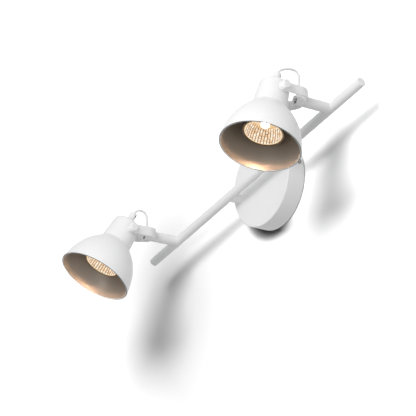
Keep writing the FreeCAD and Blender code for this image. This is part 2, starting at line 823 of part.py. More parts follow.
def make_knob(name, axis, seat, shank):
    """Eight-sided knob with a rolled outer edge, on its screw."""
    radius = size.knob_diameter / 2
    edge = size.knob_edge_radius
    corners = [
        (0, 0), (radius, 0), (radius, size.knob_height - edge, edge),
        (radius - edge, size.knob_height), (0, size.knob_height),
    ]
    disc = revolved(f"{name}_disc", "XZ_Plane", corners)
    prism = doc.addObject("Part::Prism", f"{name}_flats")
    prism.Polygon = KNOB_SIDES
    bind(prism, Circumradius=round_flats(size.knob_across_flats, KNOB_SIDES), Height=size.knob_height)
    faceted = common(f"{name}_grip", disc, prism)
    stem = cylinder(f"{name}_screw", size.pivot_screw_diameter, shank, (0, 0, 0), "-Z")
    knob = fuse(name, faceted, stem)
    return place(knob, (seat, 0, 0), turn_to(axis))


# Cable grip on the neck
def make_grip(side):
    """Small turned cable grip on top of the neck, with its grub screw."""
    hole = size.cable_hole_diameter / 2
    thread = size.holder_nipple_diameter / 2
    radius = size.grip_diameter / 2
    foot = size.grip_foot_diameter / 2
    edge = size.grip_edge_radius
    foot_top = neck_top + size.grip_foot_height
    thread_top = neck_top + size.holder_nipple_above
    corners = [
        (thread, neck_top), (foot, neck_top), (foot, foot_top), (radius, foot_top),
        (radius, grip_top - edge, edge), (radius - edge, grip_top), (hole, grip_top),
        (hole, thread_top), (thread, thread_top),
    ]
    turned = revolved(f"grip_turned_{side}", "XZ_Plane", corners)
    angle = size.grip_screw_angle.value
    outward = FreeCAD.Rotation(AXES["+Z"], angle).multiply(turn_to("+X"))
    height = grip_top - size.grip_screw_drop
    room = place(cylinder("grub_room", size.grip_screw_diameter, radius * 2), (0, 0, height), outward)
    keep(cut(f"grip_{side}", turned, room), f"cable_grip_{side}", head_frame(side))
    start = radius + size.grip_screw_proud - size.grip_screw_length
    way = outward.multVec(AXES["+Z"])
    grub = cylinder("grub_blank", size.grip_screw_diameter, size.grip_screw_length)
    place(grub, (start * way.x, start * way.y, height), outward)
    slot_at = start + size.grip_screw_length
    slot = doc.addObject("Part::Box", "grub_slot")
    bind(slot, Length=size.screw_slot_width, Width=size.grip_screw_diameter * 2,
         Height=size.screw_slot_depth)
    corner = FreeCAD.Vector(-size.screw_slot_width.value / 2, -size.grip_screw_diameter.value,
                            (slot_at - size.screw_slot_depth).value)
    slot.Placement = FreeCAD.Placement(FreeCAD.Vector(0, 0, height.value), outward).multiply(
        FreeCAD.Placement(corner, FreeCAD.Rotation()))
    keep(cut(f"grub_{side}", grub, slot), f"grip_screw_{side}", head_frame(side))


# Lampholder
def make_holder(side):
    """Hollow nipple, nut, plate, ceramic lampholder and its two screws, hung from the neck's top."""
    frame = head_frame(side)
    nut_foot = neck_inside_top - size.holder_nut_height
    plate_foot = nut_foot - size.holder_plate_thickness
    base_top = lamp_base_top()
    holder_top = base_top + size.holder_height
    length = neck_top + size.holder_nipple_above - holder_top - size.fine_gap
    nipple = cylinder("holder_nipple_blank", size.holder_nipple_diameter, length,
                      (0, 0, neck_top + size.holder_nipple_above), "-Z")
    bore = cylinder("holder_nipple_bore", size.holder_nipple_bore, length * THROUGH, (0, 0, -length), "+Z")
    keep(cut(f"stem_{side}", nipple, bore), f"holder_nipple_{side}", frame)

    blank = nut("holder_nut_blank", size.holder_nut_width, size.holder_nut_height, (0, 0, nut_foot), "+Z")
    thread = cylinder("holder_nut_hole", size.holder_nipple_diameter, length * THROUGH, (0, 0, -length), "+Z")
    keep(cut(f"stem_nut_{side}", blank, thread), f"holder_nut_{side}", frame)

    half_spacing = size.holder_screw_spacing / 2
    plate = box("plate_blank", size.holder_plate_width, size.holder_plate_length,
                size.holder_plate_thickness, (0, 0, plate_foot + size.holder_plate_thickness / 2))
    plate_cutters = [
        cylinder("plate_hole", size.holder_nipple_diameter, length * THROUGH, (0, 0, -length), "+Z"),
    ]
    body = cylinder("holder_blank", size.holder_diameter, size.holder_height, (0, 0, base_top), "+Z")
    bosses, holes, screws = [], [], []
    for sign_y in (-1, 1):
        at = sign_y * half_spacing
        plate_cutters.append(cylinder("plate_screw_hole", size.holder_screw_diameter + size.screw_clearance,
                                      neck_top * 2, (0, at, 0), "+Z"))
        bosses.append(cylinder("holder_boss", size.holder_boss_diameter, plate_foot - holder_top,
                               (0, at, holder_top), "+Z"))
        holes.append(cylinder("holder_thread", size.holder_screw_diameter, size.holder_screw_length,
                              (0, at, plate_foot), "-Z"))
        screws.append(screw("holder_screw", size.holder_screw_diameter,
                            size.holder_screw_length + size.holder_plate_thickness / 2,
                            size.holder_screw_head_diameter, size.holder_screw_head_height,
                            (0, at, nut_foot), "+Z"))
    for sign_x in (-1, 1):
        holes.append(cylinder("pin_room", size.holder_pin_hole_diameter, size.holder_pin_hole_depth,
                              (sign_x * size.lamp_pin_spacing / 2, 0, base_top), "+Z"))
    keep(cut(f"plate_{side}", plate, *plate_cutters), f"holder_plate_{side}", frame)
    keep(cut(f"holder_{side}", fuse("holder_and_bosses", body, *bosses), *holes), f"lampholder_{side}", frame)
    keep(together(f"holder_screw_pair_{side}", *screws), f"holder_screws_{side}", frame)


# Lamp
def lamp_base_top():
    throat = size.lamp_rim_height + size.lamp_bowl_depth + size.lamp_throat_height
    return throat + size.lamp_base_height - size.lamp_face_drop


def make_lamp(side):
    """Twist-in reflector lamp: bowl, front glass, inner capsule, base block and two pins."""
    frame = head_frame(side)
    face = -size.lamp_face_drop
    radius = size.lamp_diameter / 2
    wall = size.lamp_wall
    rim_top = face + size.lamp_rim_height
    glass_top = face + size.lamp_glass_thickness
    bowl = radius - size.lamp_rim_step
    throat = size.lamp_throat_diameter / 2
    throat_foot = rim_top + size.lamp_bowl_depth
    base_foot = throat_foot + size.lamp_throat_height
    corners = [
        (radius - wall, face), (radius, face), (radius, rim_top), (bowl, rim_top, size.lamp_bowl_radius),
        (throat, throat_foot), (throat, base_foot), (throat - wall, base_foot),
        (throat - wall, throat_foot, wall - size.lamp_bowl_radius),
        (bowl - wall, glass_top), (radius - wall, glass_top),
    ]
    keep(revolved(f"bowl_{side}", "XZ_Plane", corners), f"lamp_reflector_{side}", frame)
    corners = [(0, face), (radius - wall, face), (radius - wall, glass_top), (0, glass_top)]
    keep(revolved(f"glass_{side}", "XZ_Plane", corners), f"lamp_front_glass_{side}", frame)
    tube = size.capsule_diameter / 2
    tip = base_foot - size.capsule_length
    corners = [(0, tip, tube), (tube, tip + tube), (tube, base_foot), (0, base_foot)]
    keep(revolved(f"bulb_{side}", "XZ_Plane", corners), f"lamp_capsule_{side}", frame)
    block = box("base_block", size.lamp_base_length, size.lamp_base_width, size.lamp_base_height,
                (0, 0, base_foot + size.lamp_base_height / 2))
    turned = cylinder("base_round", size.lamp_base_length, size.lamp_base_height, (0, 0, base_foot))
    keep(common(f"base_{side}", block, turned), f"lamp_base_{side}", frame)
    pins = []
    for sign_x in (-1, 1):
        across = sign_x * size.lamp_pin_spacing / 2
        stem = cylinder("pin_stem", size.lamp_pin_diameter, size.lamp_pin_length,
                        (across, 0, lamp_base_top()))
        cap_at = lamp_base_top() + size.lamp_pin_length - size.lamp_pin_head_height
        pin_cap = cylinder("pin_cap", size.lamp_pin_head_diameter, size.lamp_pin_head_height,
                           (across, 0, cap_at))
        pins.append(fuse("pin", stem, pin_cap))
    keep(together(f"pins_{side}", *pins), f"lamp_pins_{side}", frame)


# Cable loops
def tube_path(route):
    """Straight runs joined by the largest tangent arcs that the runs allow, and their radii."""
    edges, radii = [], []
    start = route[0]
    for before, corner, after in zip(route, route[1:], route[2:]):
        back, ahead = before - corner, after - corner
        run = min(back.Length, ahead.Length) * ARC_SHARE
        half_turn = (math.pi - back.getAngle(ahead)) / 2
        radius = run / math.tan(half_turn)
        back.normalize()
        ahead.normalize()
        bisector = (back + ahead).normalize()
        middle = corner + bisector * (radius / math.cos(half_turn) - radius)
        arc_start, arc_end = corner + back * run, corner + ahead * run
        edges.append(Part.LineSegment(start, arc_start).toShape())
        edges.append(Part.Arc(arc_start, middle, arc_end).toShape())
        radii.append(radius)
        start = arc_end
    edges.append(Part.LineSegment(start, route[-1]).toShape())
    return Part.Wire(edges), radii


def make_cable(side):
    """The free loop of cable from the grip down into the barrel's slot."""
    route = [FreeCAD.Vector(0, -ahead, height) for ahead, height in CABLE_ROUTES[side]]
    path, radii = tube_path(route)
    radius = size.cable_diameter.value / 2
    section = Part.Wire(Part.Circle(route[0], route[1] - route[0], radius).toShape())
    tube = path.makePipeShell([section], True, False)
    expected = math.pi * radius * radius * path.Length
    print(f"cable {side}: length {path.Length:.1f}, least radius {min(radii):.1f}, "
          f"volume ratio {tube.Volume / expected:.4f}, radii {[round(r, 1) for r in radii]}")
    cable = doc.addObject("Part::Feature", f"cable_{side}")
    cable.Shape = tube
    keep(cable, f"cable_loop_{side}", yoke_frame(side))


make_bracket()
make_canopy()
make_side_screws()
make_terminals()
make_bar()
make_posts()
for lamp_side in SIDES:
    make_plug(lamp_side)
    make_arm(lamp_side)
    make_barrel(lamp_side, make_strap(lamp_side))
    make_nipple(lamp_side)
    make_shade(lamp_side)
    make_pivots(lamp_side)
    make_grip(lamp_side)
    make_holder(lamp_side)
    make_lamp(lamp_side)
    make_cable(lamp_side)

doc.recompute()

failed = [thing.Name for thing in doc.Objects if {"Invalid", "Error"} & set(thing.State)]
for node, part in parts.items():
    if part.Shape.isNull() or not part.Shape.isValid() or not part.Shape.Solids:
        failed.append(node)
if failed:
    raise RuntimeError(f"these objects failed: {failed}")

os.makedirs("parts", exist_ok=True)
for node, part in parts.items():
    part.Shape.exportStep(os.path.join("parts", f"{node}.step"))
print(f"{len(parts)} pieces written")
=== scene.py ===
"""Two-spot wall bar: finishes and close detail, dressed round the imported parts.

Lengths of the pieces and the camera are millimetres, as on a drawing, and become metres when they are
made. Those of the finishes and the studio are metres.
"""
import json
import logging
import math
from collections.abc import Callable, Sequence
from dataclasses import dataclass, field
from enum import Enum

import bmesh
import bpy
from bmesh.types import BMesh, BMVert
from bpy.types import ID, Material, Modifier, Node, NodeSocket, NodeTree, Object, World
from mathutils import Matrix, Vector

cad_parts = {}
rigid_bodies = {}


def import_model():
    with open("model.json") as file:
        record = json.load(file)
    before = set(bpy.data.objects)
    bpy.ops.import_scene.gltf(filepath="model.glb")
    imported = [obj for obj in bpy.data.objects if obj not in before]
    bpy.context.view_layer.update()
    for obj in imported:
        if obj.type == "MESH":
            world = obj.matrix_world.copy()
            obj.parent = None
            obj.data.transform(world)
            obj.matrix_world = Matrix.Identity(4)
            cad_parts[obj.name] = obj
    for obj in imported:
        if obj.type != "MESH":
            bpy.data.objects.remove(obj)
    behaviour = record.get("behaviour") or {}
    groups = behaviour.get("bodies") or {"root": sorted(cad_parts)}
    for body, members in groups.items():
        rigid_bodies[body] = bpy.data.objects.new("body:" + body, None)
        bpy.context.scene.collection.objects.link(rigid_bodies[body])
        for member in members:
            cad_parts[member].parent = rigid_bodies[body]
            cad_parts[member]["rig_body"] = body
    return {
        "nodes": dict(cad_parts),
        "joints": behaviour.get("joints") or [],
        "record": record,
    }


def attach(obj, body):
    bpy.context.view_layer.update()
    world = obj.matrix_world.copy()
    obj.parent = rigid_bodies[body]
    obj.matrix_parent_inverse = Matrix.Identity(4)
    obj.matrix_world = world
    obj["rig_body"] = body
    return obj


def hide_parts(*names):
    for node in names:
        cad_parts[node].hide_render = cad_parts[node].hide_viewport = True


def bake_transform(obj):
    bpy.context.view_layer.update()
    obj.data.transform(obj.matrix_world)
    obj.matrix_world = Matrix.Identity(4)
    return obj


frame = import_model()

log = logging.getLogger("wall_bar")

MM = 0.001
TURN = 2 * math.pi
NOISE_MIDDLE = 0.5
SCRATCH_DEPTH = 0.00001
WELD = 1e-7
SMOOTH_DEG = 32.0

Pair = tuple[float, float]
Point = Pair
Triple = tuple[float, float, float]
Tint = Triple | NodeSocket
Settings = dict[str, object] | None


class Side(Enum):
    """The two ends of the bar."""

    LEFT = "left"
    RIGHT = "right"


class Part(Enum):
    """What a piece of one side rides on."""

    YOKE = "yoke"
    HEAD = "head"


# Shader maths


def operator(operation: str) -> Callable[["Wire", "Wire | float"], "Wire"]:
    """A Python operator between a wire and a wire or number, made from one Math operation."""

    def result(wire: "Wire", other: "Wire | float") -> "Wire":
        """The operation's result."""
        return wire.maths(operation, wire, other)

    return result


@dataclass(frozen=True)
class Wire:
    """A node's output that takes part in Python expressions."""

    tree: NodeTree
    socket: NodeSocket

    def maths(self, operation: str, *values: "Wire | float") -> "Wire":
        """Adds one Math node.

        Args:
            operation: The Math node's operation.
            values: The node's inputs, in order.

        Returns:
            The node's result.
        """
        node = self.tree.nodes.new("ShaderNodeMath")
        node.operation = operation
        for socket, value in zip(node.inputs, values):
            connect(self.tree, socket, value)
        return Wire(self.tree, node.outputs[0])

    def __rsub__(self, other: float) -> "Wire":
        """Difference from a number."""
        return self.maths("SUBTRACT", other, self)

    __add__ = __radd__ = operator("ADD")
    __sub__ = operator("SUBTRACT")
    __mul__ = operator("MULTIPLY")
    __truediv__ = operator("DIVIDE")
    __pow__ = operator("POWER")

    def limited(self) -> "Wire":
        """The value held between 0 and 1."""
        result = self.maths("ADD", self, 0.0)
        result.socket.node.use_clamp = True
        return result

    def above(self, edge: float, width: float) -> "Wire":
        """A soft step: 0 below edge, 1 above edge + width."""
        return ((self - edge) / width).limited()


def connect(tree: NodeTree, socket: NodeSocket, value: object) -> None:
    """Links a wire to a socket, or sets the socket's own value."""
    if isinstance(value, Wire):
        tree.links.new(value.socket, socket)
    elif isinstance(value, NodeSocket):
        tree.links.new(value, socket)
    else:
        socket.default_value = value


def add_node(tree: NodeTree, kind: str, settings: Settings = None,
             numbered: dict[int, object] | None = None, **sockets: object) -> Node:
    """Adds a node to a tree.

    Args:
        tree: The node tree.
        kind: The node's type.
        settings: Properties set before the sockets.
        numbered: Values or links by input number, for inputs that share a name.
        sockets: Values or links by input name, with underscores for spaces.

    Returns:
        The new node.
    """
    node = tree.nodes.new(kind)
    for name, value in (settings or {}).items():
        setattr(node, name, value)
    for number, value in (numbered or {}).items():
        connect(tree, node.inputs[number], value)
    for name, value in sockets.items():
        wanted = name.replace("_", " ")
        connect(tree, next(s for s in node.inputs if s.name == wanted and s.enabled), value)
    return node


def vector_node(tree: NodeTree, operation: str, *values: object) -> Node:
    """Adds a Vector Math node with its inputs in order."""
    return add_node(tree, "ShaderNodeVectorMath", {"operation": operation}, dict(enumerate(values)))


def measured(tree: NodeTree, operation: str, *vectors: object) -> Wire:
    """A number that two vectors give, such as their distance."""
    return Wire(tree, vector_node(tree, operation, *vectors).outputs["Value"])


class Graph:
    """A material or world under construction."""

    glow_roughness_change = 0.1

    def __init__(self, owner: Material | World) -> None:
        """Empties the owner's node tree."""
        self.owner = owner
        owner.use_nodes = True
        self.tree = owner.node_tree
        self.tree.nodes.clear()
        self.noises: dict[Pair, Wire] = {}

    def node(self, kind: str, settings: Settings = None,
             numbered: dict[int, object] | None = None, **sockets: object) -> Node:
        """Adds a shader node, its type without the ShaderNode prefix and the rest as in add_node."""
        return add_node(self.tree, f"ShaderNode{kind}", settings, numbered, **sockets)

    def wire(self, node: Node, output: str | int = 0) -> Wire:
        """One output of a node as a wire."""
        return Wire(self.tree, node.outputs[output])

    def noise(self, grain: Pair, place: NodeSocket | None = None) -> Wire:
        """Noise on object coordinates, as a value round 0.5, made once for each grain.

        Args:
            grain: Features per metre, and octaves.
            place: Another vector to read, in place of the object's coordinates.

        Returns:
            The noise value.
        """
        if grain not in self.noises:
            vector = place or self.node("TexCoord").outputs["Object"]
            node = self.node("TexNoise", Vector=vector, Scale=grain[0], Detail=grain[1])
            self.noises[grain] = self.wire(node, "Fac")
        return self.noises[grain]

    def attribute(self, name: str) -> Wire:
        """A value stored in the mesh."""
        return self.wire(self.node("Attribute", {"attribute_name": name}), "Fac")

    def tinted(self, factor: Wire, first: Tint, second: Tint) -> NodeSocket:
        """A colour between two colours."""
        ends = [end if isinstance(end, NodeSocket) else (*end, 1.0) for end in (first, second)]
        return self.node("Mix", {"data_type": "RGBA"}, {0: factor, 6: ends[0], 7: ends[1]}).outputs[2]

    def ramp(self, factor: Wire, places: Sequence[float], colours: Sequence[Triple]) -> NodeSocket:
        """A colour from a ramp with a colour at each place."""
        node = self.node("ValToRGB", Fac=factor)
        stops = node.color_ramp.elements
        while len(stops) < len(places):
            stops.new(1.0)
        for stop, place, colour in zip(stops, places, colours):
            stop.position, stop.color = place, (*colour, 1.0)
        return node.outputs["Color"]

    def blended(self, factor: Wire, first: Node, second: Node) -> NodeSocket:
        """A shader between two shaders."""
        ends = {0: factor, 1: first.outputs[0], 2: second.outputs[0]}
        return self.node("MixShader", numbered=ends).outputs[0]

    def bump(self, height: Wire, distance: float, strength: float = 1.0) -> NodeSocket:
        """A normal disturbed by a height, in metres at height 1."""
        return self.node("Bump", Strength=strength, Distance=distance, Height=height).outputs["Normal"]

    def surface(self, **sockets: object) -> Material:
        """Ends a material in one Principled BSDF."""
        return self.ended(self.node("BsdfPrincipled", **sockets).outputs[0])

    def glow(self, look: "PaintedFacetLight | Glowing", cloud: Wire, colour: NodeSocket) -> Material:
        """Ends a material that glows and shows almost nothing of other light.

        Args:
            look: The finish, for its strength, roughness and unlit colour.
            cloud: Noise that varies the last two a little.
            colour: The colour of its own light.

        Returns:
            The material.
        """
        return self.surface(
            Base_Color=self.tinted(cloud, tuple(level / 2 for level in look.unlit), look.unlit),
            Roughness=look.roughness + cloud * self.glow_roughness_change,
            Specular_IOR_Level=0.0,
            Emission_Color=colour,
            Emission_Strength=look.strength,
        )

    def ended(self, shader: NodeSocket) -> Material:
        """Ends a material in a shader."""
        self.node("OutputMaterial", Surface=shader)
        return self.owner

    def turned_way(self) -> Wire:
        """Way along a turned piece's outline, in metres."""
        place = self.node("UVMap", {"uv_map": "turned"}).outputs[0]
        return self.wire(self.node("SeparateXYZ", Vector=place), "Y")


# Finishes


@dataclass(frozen=True)
class Solid:
    """A surface of two close shades with a fine relief, such as moulded plastic or glazed ceramic.

    Clouds and grains mix the shades, wear varies the roughness, and the relief is the bump's height.
    """

    light: Triple
    dark: Triple
    roughness: float = 0.45
    coat: float = 0.0
    coat_roughness: float = 0.12
    metal: float = 0.0
    clouds: Pair = (90.0, 3.0)
    cloud_share: float = 0.6
    grains: Pair = (1500.0, 1.0)
    wear: Pair = (90.0, 3.0)
    wear_share: float = 0.1
    relief: Pair = (1500.0, 1.0)
    relief_height: float = SCRATCH_DEPTH
    relief_strength: float = 0.35

    def build(self, graph: Graph) -> Material:
        """Makes the material."""
        cloud, grain, wear, relief = map(graph.noise, (self.clouds, self.grains, self.wear, self.relief))
        share = cloud * self.cloud_share + grain * (1 - self.cloud_share)
        return graph.surface(
            Base_Color=graph.tinted(share, self.dark, self.light),
            Metallic=self.metal,
            Roughness=self.roughness + (wear - NOISE_MIDDLE) * self.wear_share,
            Coat_Weight=self.coat,
            Coat_Roughness=self.coat_roughness,
            Normal=graph.bump(relief, self.relief_height, self.relief_strength),
        )


@dataclass(frozen=True)
class PowderCoat(Solid):
    """White powder coat: a fine orange peel under a satin gloss."""

    light: Triple = (0.882, 0.884, 0.882)
    dark: Triple = (0.845, 0.847, 0.845)
    roughness: float = 0.4
    clouds: Pair = (14.0, 3.0)
    cloud_share: float = 0.7
    grains: Pair = (2550.0, 1.0)
    wear: Pair = (850.0, 1.5)
    wear_share: float = 0.12
    relief: Pair = (850.0, 1.5)
    relief_height: float = 0.00002
    relief_strength: float = 0.5


@dataclass(frozen=True)
class Metal(Solid):
    """Plain or plated metal with faint streaks and spots."""

    metal: float = 1.0
    clouds: Pair = (260.0, 3.0)
    cloud_share: float = 1.0
    wear: Pair = (900.0, 2.0)
    wear_share: float = 0.15
    relief: Pair = (900.0, 2.0)
    relief_strength: float = 0.4


@dataclass(frozen=True)
class SpunSilver:
    """Satin metallic paint inside the shade: faint spinning rings, and a painted shade, browner and darker,
    deeper in from the rim.
    """

    light: Triple = (0.54, 0.475, 0.41)
    dark: Triple = (0.42, 0.365, 0.31)
    # Painted shade: thin is the darker brown that the lining turns deeper in from the rim.
    thin: Triple = (0.26, 0.205, 0.155)
    thin_edge: Pair = (0.009, 0.02)
    thin_share: float = 0.85
    metal: float = 0.3
    roughness: float = 0.36
    roughness_change: float = 0.16
    rings_per_metre: float = 300.0
    rings: Pair = (1.0, 2.0)
    ring_share: float = 0.6
    ring_strength: float = 0.5
    clouds: Pair = (60.0, 3.0)

    def build(self, graph: Graph) -> Material:
        """Makes the material."""
        way = graph.turned_way()
        place = graph.node("CombineXYZ", X=way * self.rings_per_metre)
        rings = graph.noise(self.rings, place.outputs[0])
        share = rings * self.ring_share + graph.noise(self.clouds) * (1 - self.ring_share)
        silver = graph.tinted(share, self.dark, self.light)
        # Painted shade, growing along the outline away from the rim.
        painted_depth_shade = way.above(*self.thin_edge) * self.thin_share
        return graph.surface(
            Base_Color=graph.tinted(painted_depth_shade, silver, self.thin),
            Metallic=self.metal,
            Roughness=self.roughness + (rings - NOISE_MIDDLE) * self.roughness_change,
            Normal=graph.bump(rings, SCRATCH_DEPTH, self.ring_strength),
        )


@dataclass(frozen=True)
class PaintedFacetLight:
    """Faceted reflector, lamp lit: a painted filament reflection, a little different on each pillow, and
    painted flank shade.
    """

    # Painted light: these colours ramp from painted shade on the pillows' flanks to a painted reflection of
    # the filament on their tops, and ember is a painted warm glow deep in the bowl.
    seam: Triple = (0.11, 0.05, 0.02)
    brown: Triple = (0.28, 0.13, 0.055)
    cream: Triple = (0.86, 0.6, 0.38)
    white: Triple = (1.0, 0.9, 0.78)
    ember: Triple = (1.0, 0.68, 0.38)
    unlit: Triple = (0.0006, 0.0004, 0.0002)
    stops: tuple[float, ...] = (0.0, 0.3, 0.55, 0.9)
    least: float = 0.52
    from_chance: float = 0.5
    from_flank: float = 0.7
    from_depth: float = 0.12
    ember_edge: Pair = (0.5, 0.35)
    ember_share: float = 0.85
    clouds: Pair = (400.0, 2.0)
    roughness: float = 0.3
    strength: float = 1.18

    def build(self, graph: Graph) -> Material:
        """Makes the material."""
        facet, flank, depth = map(graph.attribute, ("facet", "flank", "depth"))
        # Painted light level: the random part is a painted reflection of the filament, and flank and depth
        # take it down as painted shade.
        level = facet * self.from_chance + self.least - flank * self.from_flank - depth * self.from_depth
        pillow = graph.ramp(level.limited(), self.stops, (self.seam, self.brown, self.cream, self.white))
        colour = graph.tinted(depth.above(*self.ember_edge) * self.ember_share, pillow, self.ember)
        return graph.glow(self, graph.noise(self.clouds), colour)


@dataclass(frozen=True)
class Glowing:
    """Glass lit from inside, the lamp's light painted on it as emission."""

    colour: Triple
    edge: Triple
    strength: float
    unlit: Triple = (0.0008, 0.0006, 0.0004)
    roughness: float = 0.4
    clouds: Pair = (300.0, 2.0)
    cloud_edge: Pair = (0.35, 0.3)

    def build(self, graph: Graph) -> Material:
        """Makes the material."""
        cloud = graph.noise(self.clouds)
        colour = graph.tinted(cloud.above(*self.cloud_edge), self.edge, self.colour)
        return graph.glow(self, cloud, colour)


@dataclass(frozen=True)
class LitCapsule:
    """Halogen capsule: the filament behind its tip is white hot, and the glass beside it only warm."""

    hot: Triple = (1.0, 0.64, 0.42)
    warm: Triple = (0.006, 0.002, 0.0005)
    hot_edge: Pair = (0.006, 0.002)
    core_edge: Pair = (0.2, 0.7)
    clouds: Pair = (500.0, 2.0)
    falloff: float = 4.0
    roughness: float = 0.25
    roughness_change: float = 0.1
    strength: float = 270.0

    def build(self, graph: Graph) -> Material:
        """Makes the material."""
        cloud = graph.noise(self.clouds)
        behind = graph.turned_way().above(*self.hot_edge)
        beside = graph.wire(graph.node("LayerWeight", Blend=0.5), "Facing").above(*self.core_edge)
        cooler = 1 - (1 - behind) * (1 - beside) ** self.falloff
        return graph.surface(
            Base_Color=(*self.hot, 1.0),
            Roughness=self.roughness + cloud * self.roughness_change,
            Emission_Color=graph.tinted(cooler, self.hot, self.warm),
            Emission_Strength=self.strength,
        )


@dataclass(frozen=True)
class ClearGlass:
    """Clear thin glass: light passes straight on, and the gloss grows towards its edges."""

    tint: Triple = (0.97, 0.96, 0.93)
    roughness: float = 0.05
    refraction: float = 1.45
    waves: Pair = (120.0, 2.0)
    wave_height: float = 0.00002
    wave_strength: float = 0.3
    gloss: float = 0.2

    def build(self, graph: Graph) -> Material:
        """Makes the material."""
        wave = graph.noise(self.waves)
        normal = graph.bump(wave, self.wave_height, self.wave_strength)
        gloss = graph.node("BsdfGlossy", Roughness=self.roughness, Normal=normal)
        clear = graph.node("BsdfTransparent", Color=(*self.tint, 1.0))
        edge = graph.wire(graph.node("Fresnel", IOR=self.refraction, Normal=normal))
        outside = 1 - graph.wire(graph.node("NewGeometry"), "Backfacing")
        share = edge * outside * (self.gloss + wave * self.gloss)
        return graph.ended(graph.blended(share, clear, gloss))


class Finish(Enum):
    """Every finish of the wall bar, by its material slot where the record has one."""

    WHITE_COAT = PowderCoat()
    SPUN_SILVER = SpunSilver()
    ZINC_STEEL = Metal((0.62, 0.63, 0.64), (0.48, 0.49, 0.5), 0.32)
    NICKEL = Metal((0.42, 0.41, 0.39), (0.24, 0.23, 0.22), 0.22)
    BRASS = Metal((0.78, 0.6, 0.3), (0.62, 0.45, 0.2), 0.28)
    WHITE_PLASTIC = Solid((0.84, 0.84, 0.81), (0.78, 0.78, 0.75))
    NYLON = Solid((0.82, 0.82, 0.79), (0.76, 0.76, 0.73), 0.5)
    WHITE_PVC = Solid((0.86, 0.86, 0.85), (0.8, 0.8, 0.79), 0.38)
    CERAMIC = Solid((0.84, 0.82, 0.77), (0.76, 0.74, 0.68), 0.4, 0.5)
    REFLECTOR_GLASS = Metal((0.2, 0.16, 0.11), (0.13, 0.1, 0.07), 0.3)
    CLEAR_GLASS = ClearGlass()
    FACETS = PaintedFacetLight()
    # Painted glow of the lit lamp's glass rim: a cream inner ring and a dim amber outer ring.
    GLOWING_RIM = Glowing((1.0, 0.83, 0.58), (1.0, 0.72, 0.44), 0.97)
    AMBER_RIM = Glowing((0.3, 0.15, 0.05), (0.14, 0.075, 0.03), 0.9)
    # Painted shade on the underside of the shade's rim.
    RAW_EDGE = Solid((0.12, 0.125, 0.125), (0.08, 0.085, 0.085), 0.5)
    # Painted shade inside the barrel screw's socket.
    SOCKET = Solid((0.012, 0.012, 0.012), (0.008, 0.008, 0.008), 0.6)
    FILAMENT = LitCapsule()

    @property
    def material(self) -> Material:
        """The finish's material, built on first use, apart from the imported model's own plain ones."""
        name = f"{self.name.lower()}_finish"
        return bpy.data.materials.get(name) or self.value.build(Graph(bpy.data.materials.new(name)))


# Meshes


def arc(start: Point, end: Point, radius: float, steps: int = 8) -> list[Point]:
    """Points of an arc after its start, in millimetres.

    Args:
        start: Where the arc begins.
        end: Where it ends, which is the last point given back.
        radius: Its radius: a positive one bulges to the right of the way.
        steps: How many pieces.

    Returns:
        The points after the start.
    """
    first, last = Vector(start), Vector(end)
    chord = last - first
    half = chord.length / 2
    right = Vector((chord.y, -chord.x)).normalized() * math.copysign(1, radius)
    centre = (first + last) / 2 - right * math.sqrt(max(radius * radius - half * half, 0))
    opening = 2 * math.asin(min(half / abs(radius), 1)) * math.copysign(1, radius)
    turns = [Matrix.Rotation(opening * step / steps, 2) for step in range(1, steps + 1)]
    return [tuple(centre + turn @ (first - centre)) for turn in turns]


def eased(points: list[Point], corner: Point, reach: float, steps: int = 5) -> list[Point]:
    """Rounds one corner of an outline with a short curve that begins and ends reach away from it."""
    index = min(range(len(points)), key=lambda i: (Vector(points[i]) - Vector(corner)).length)
    middle = Vector(points[index])
    before = [p for p in points[:index] if (Vector(p) - middle).length > reach]
    after = [p for p in points[index + 1:] if (Vector(p) - middle).length > reach]
    start = middle + (Vector(points[index - 1]) - middle).normalized() * reach
    end = middle + (Vector(points[index + 1]) - middle).normalized() * reach
    ways = [step / steps for step in range(steps + 1)]
    curve = [tuple(start * (1 - t) ** 2 + middle * 2 * t * (1 - t) + end * t * t) for t in ways]
    return before + curve + after


def cleaned(mesh: BMesh, weld: float) -> BMesh:
    """Welds points closer than a distance in metres, drops empty faces and turns all faces outwards."""
    bmesh.ops.remove_doubles(mesh, verts=mesh.verts, dist=weld)
    bmesh.ops.dissolve_degenerate(mesh, dist=weld / 10, edges=mesh.edges)
    bmesh.ops.recalc_face_normals(mesh, faces=mesh.faces)
    return mesh


def turned(outline: Sequence[Point], steps: int = 96, closed: bool = True) -> BMesh:
    """Turns an outline of (radius, height) points about the local Z axis.

    Args:
        outline: The points, in millimetres, going round the section with the solid on the left.
        steps: Faces in one turn.
        closed: Whether the outline ends where it began.

    Returns:
        A mesh in metres with a "turned" UV map: across is the turn, and up is the way along the outline.
    """
    mesh = bmesh.new()
    way = [0.0]
    for before, after in zip(outline, outline[1:]):
        way.append(way[-1] + (Vector(after) - Vector(before)).length)
    way.append(way[-1])
    spokes = [(math.cos(TURN * step / steps), math.sin(TURN * step / steps)) for step in range(steps)]
    rings = [[mesh.verts.new((r * x * MM, r * y * MM, z * MM)) for x, y in spokes] for r, z in outline]
    layer = mesh.loops.layers.uv.new("turned")
    for index in range(len(rings) if closed else len(rings) - 1):
        lower, upper = rings[index], rings[(index + 1) % len(rings)]
        for step in range(steps):
            following = (step + 1) % steps
            face = mesh.faces.new((lower[step], lower[following], upper[following], upper[step]))
            for loop, (right, up) in zip(face.loops, ((0, 0), (1, 0), (1, 1), (0, 1))):
                loop[layer].uv = ((step + right) / steps, way[index + up] * MM)
    return cleaned(mesh, WELD)


def bridge(mesh: BMesh, first: Sequence[BMVert], second: Sequence[BMVert]) -> None:
    """Fills a band of faces between two rows of points."""
    for corners in zip(first, first[1:], second[1:], second):
        mesh.faces.new(corners)


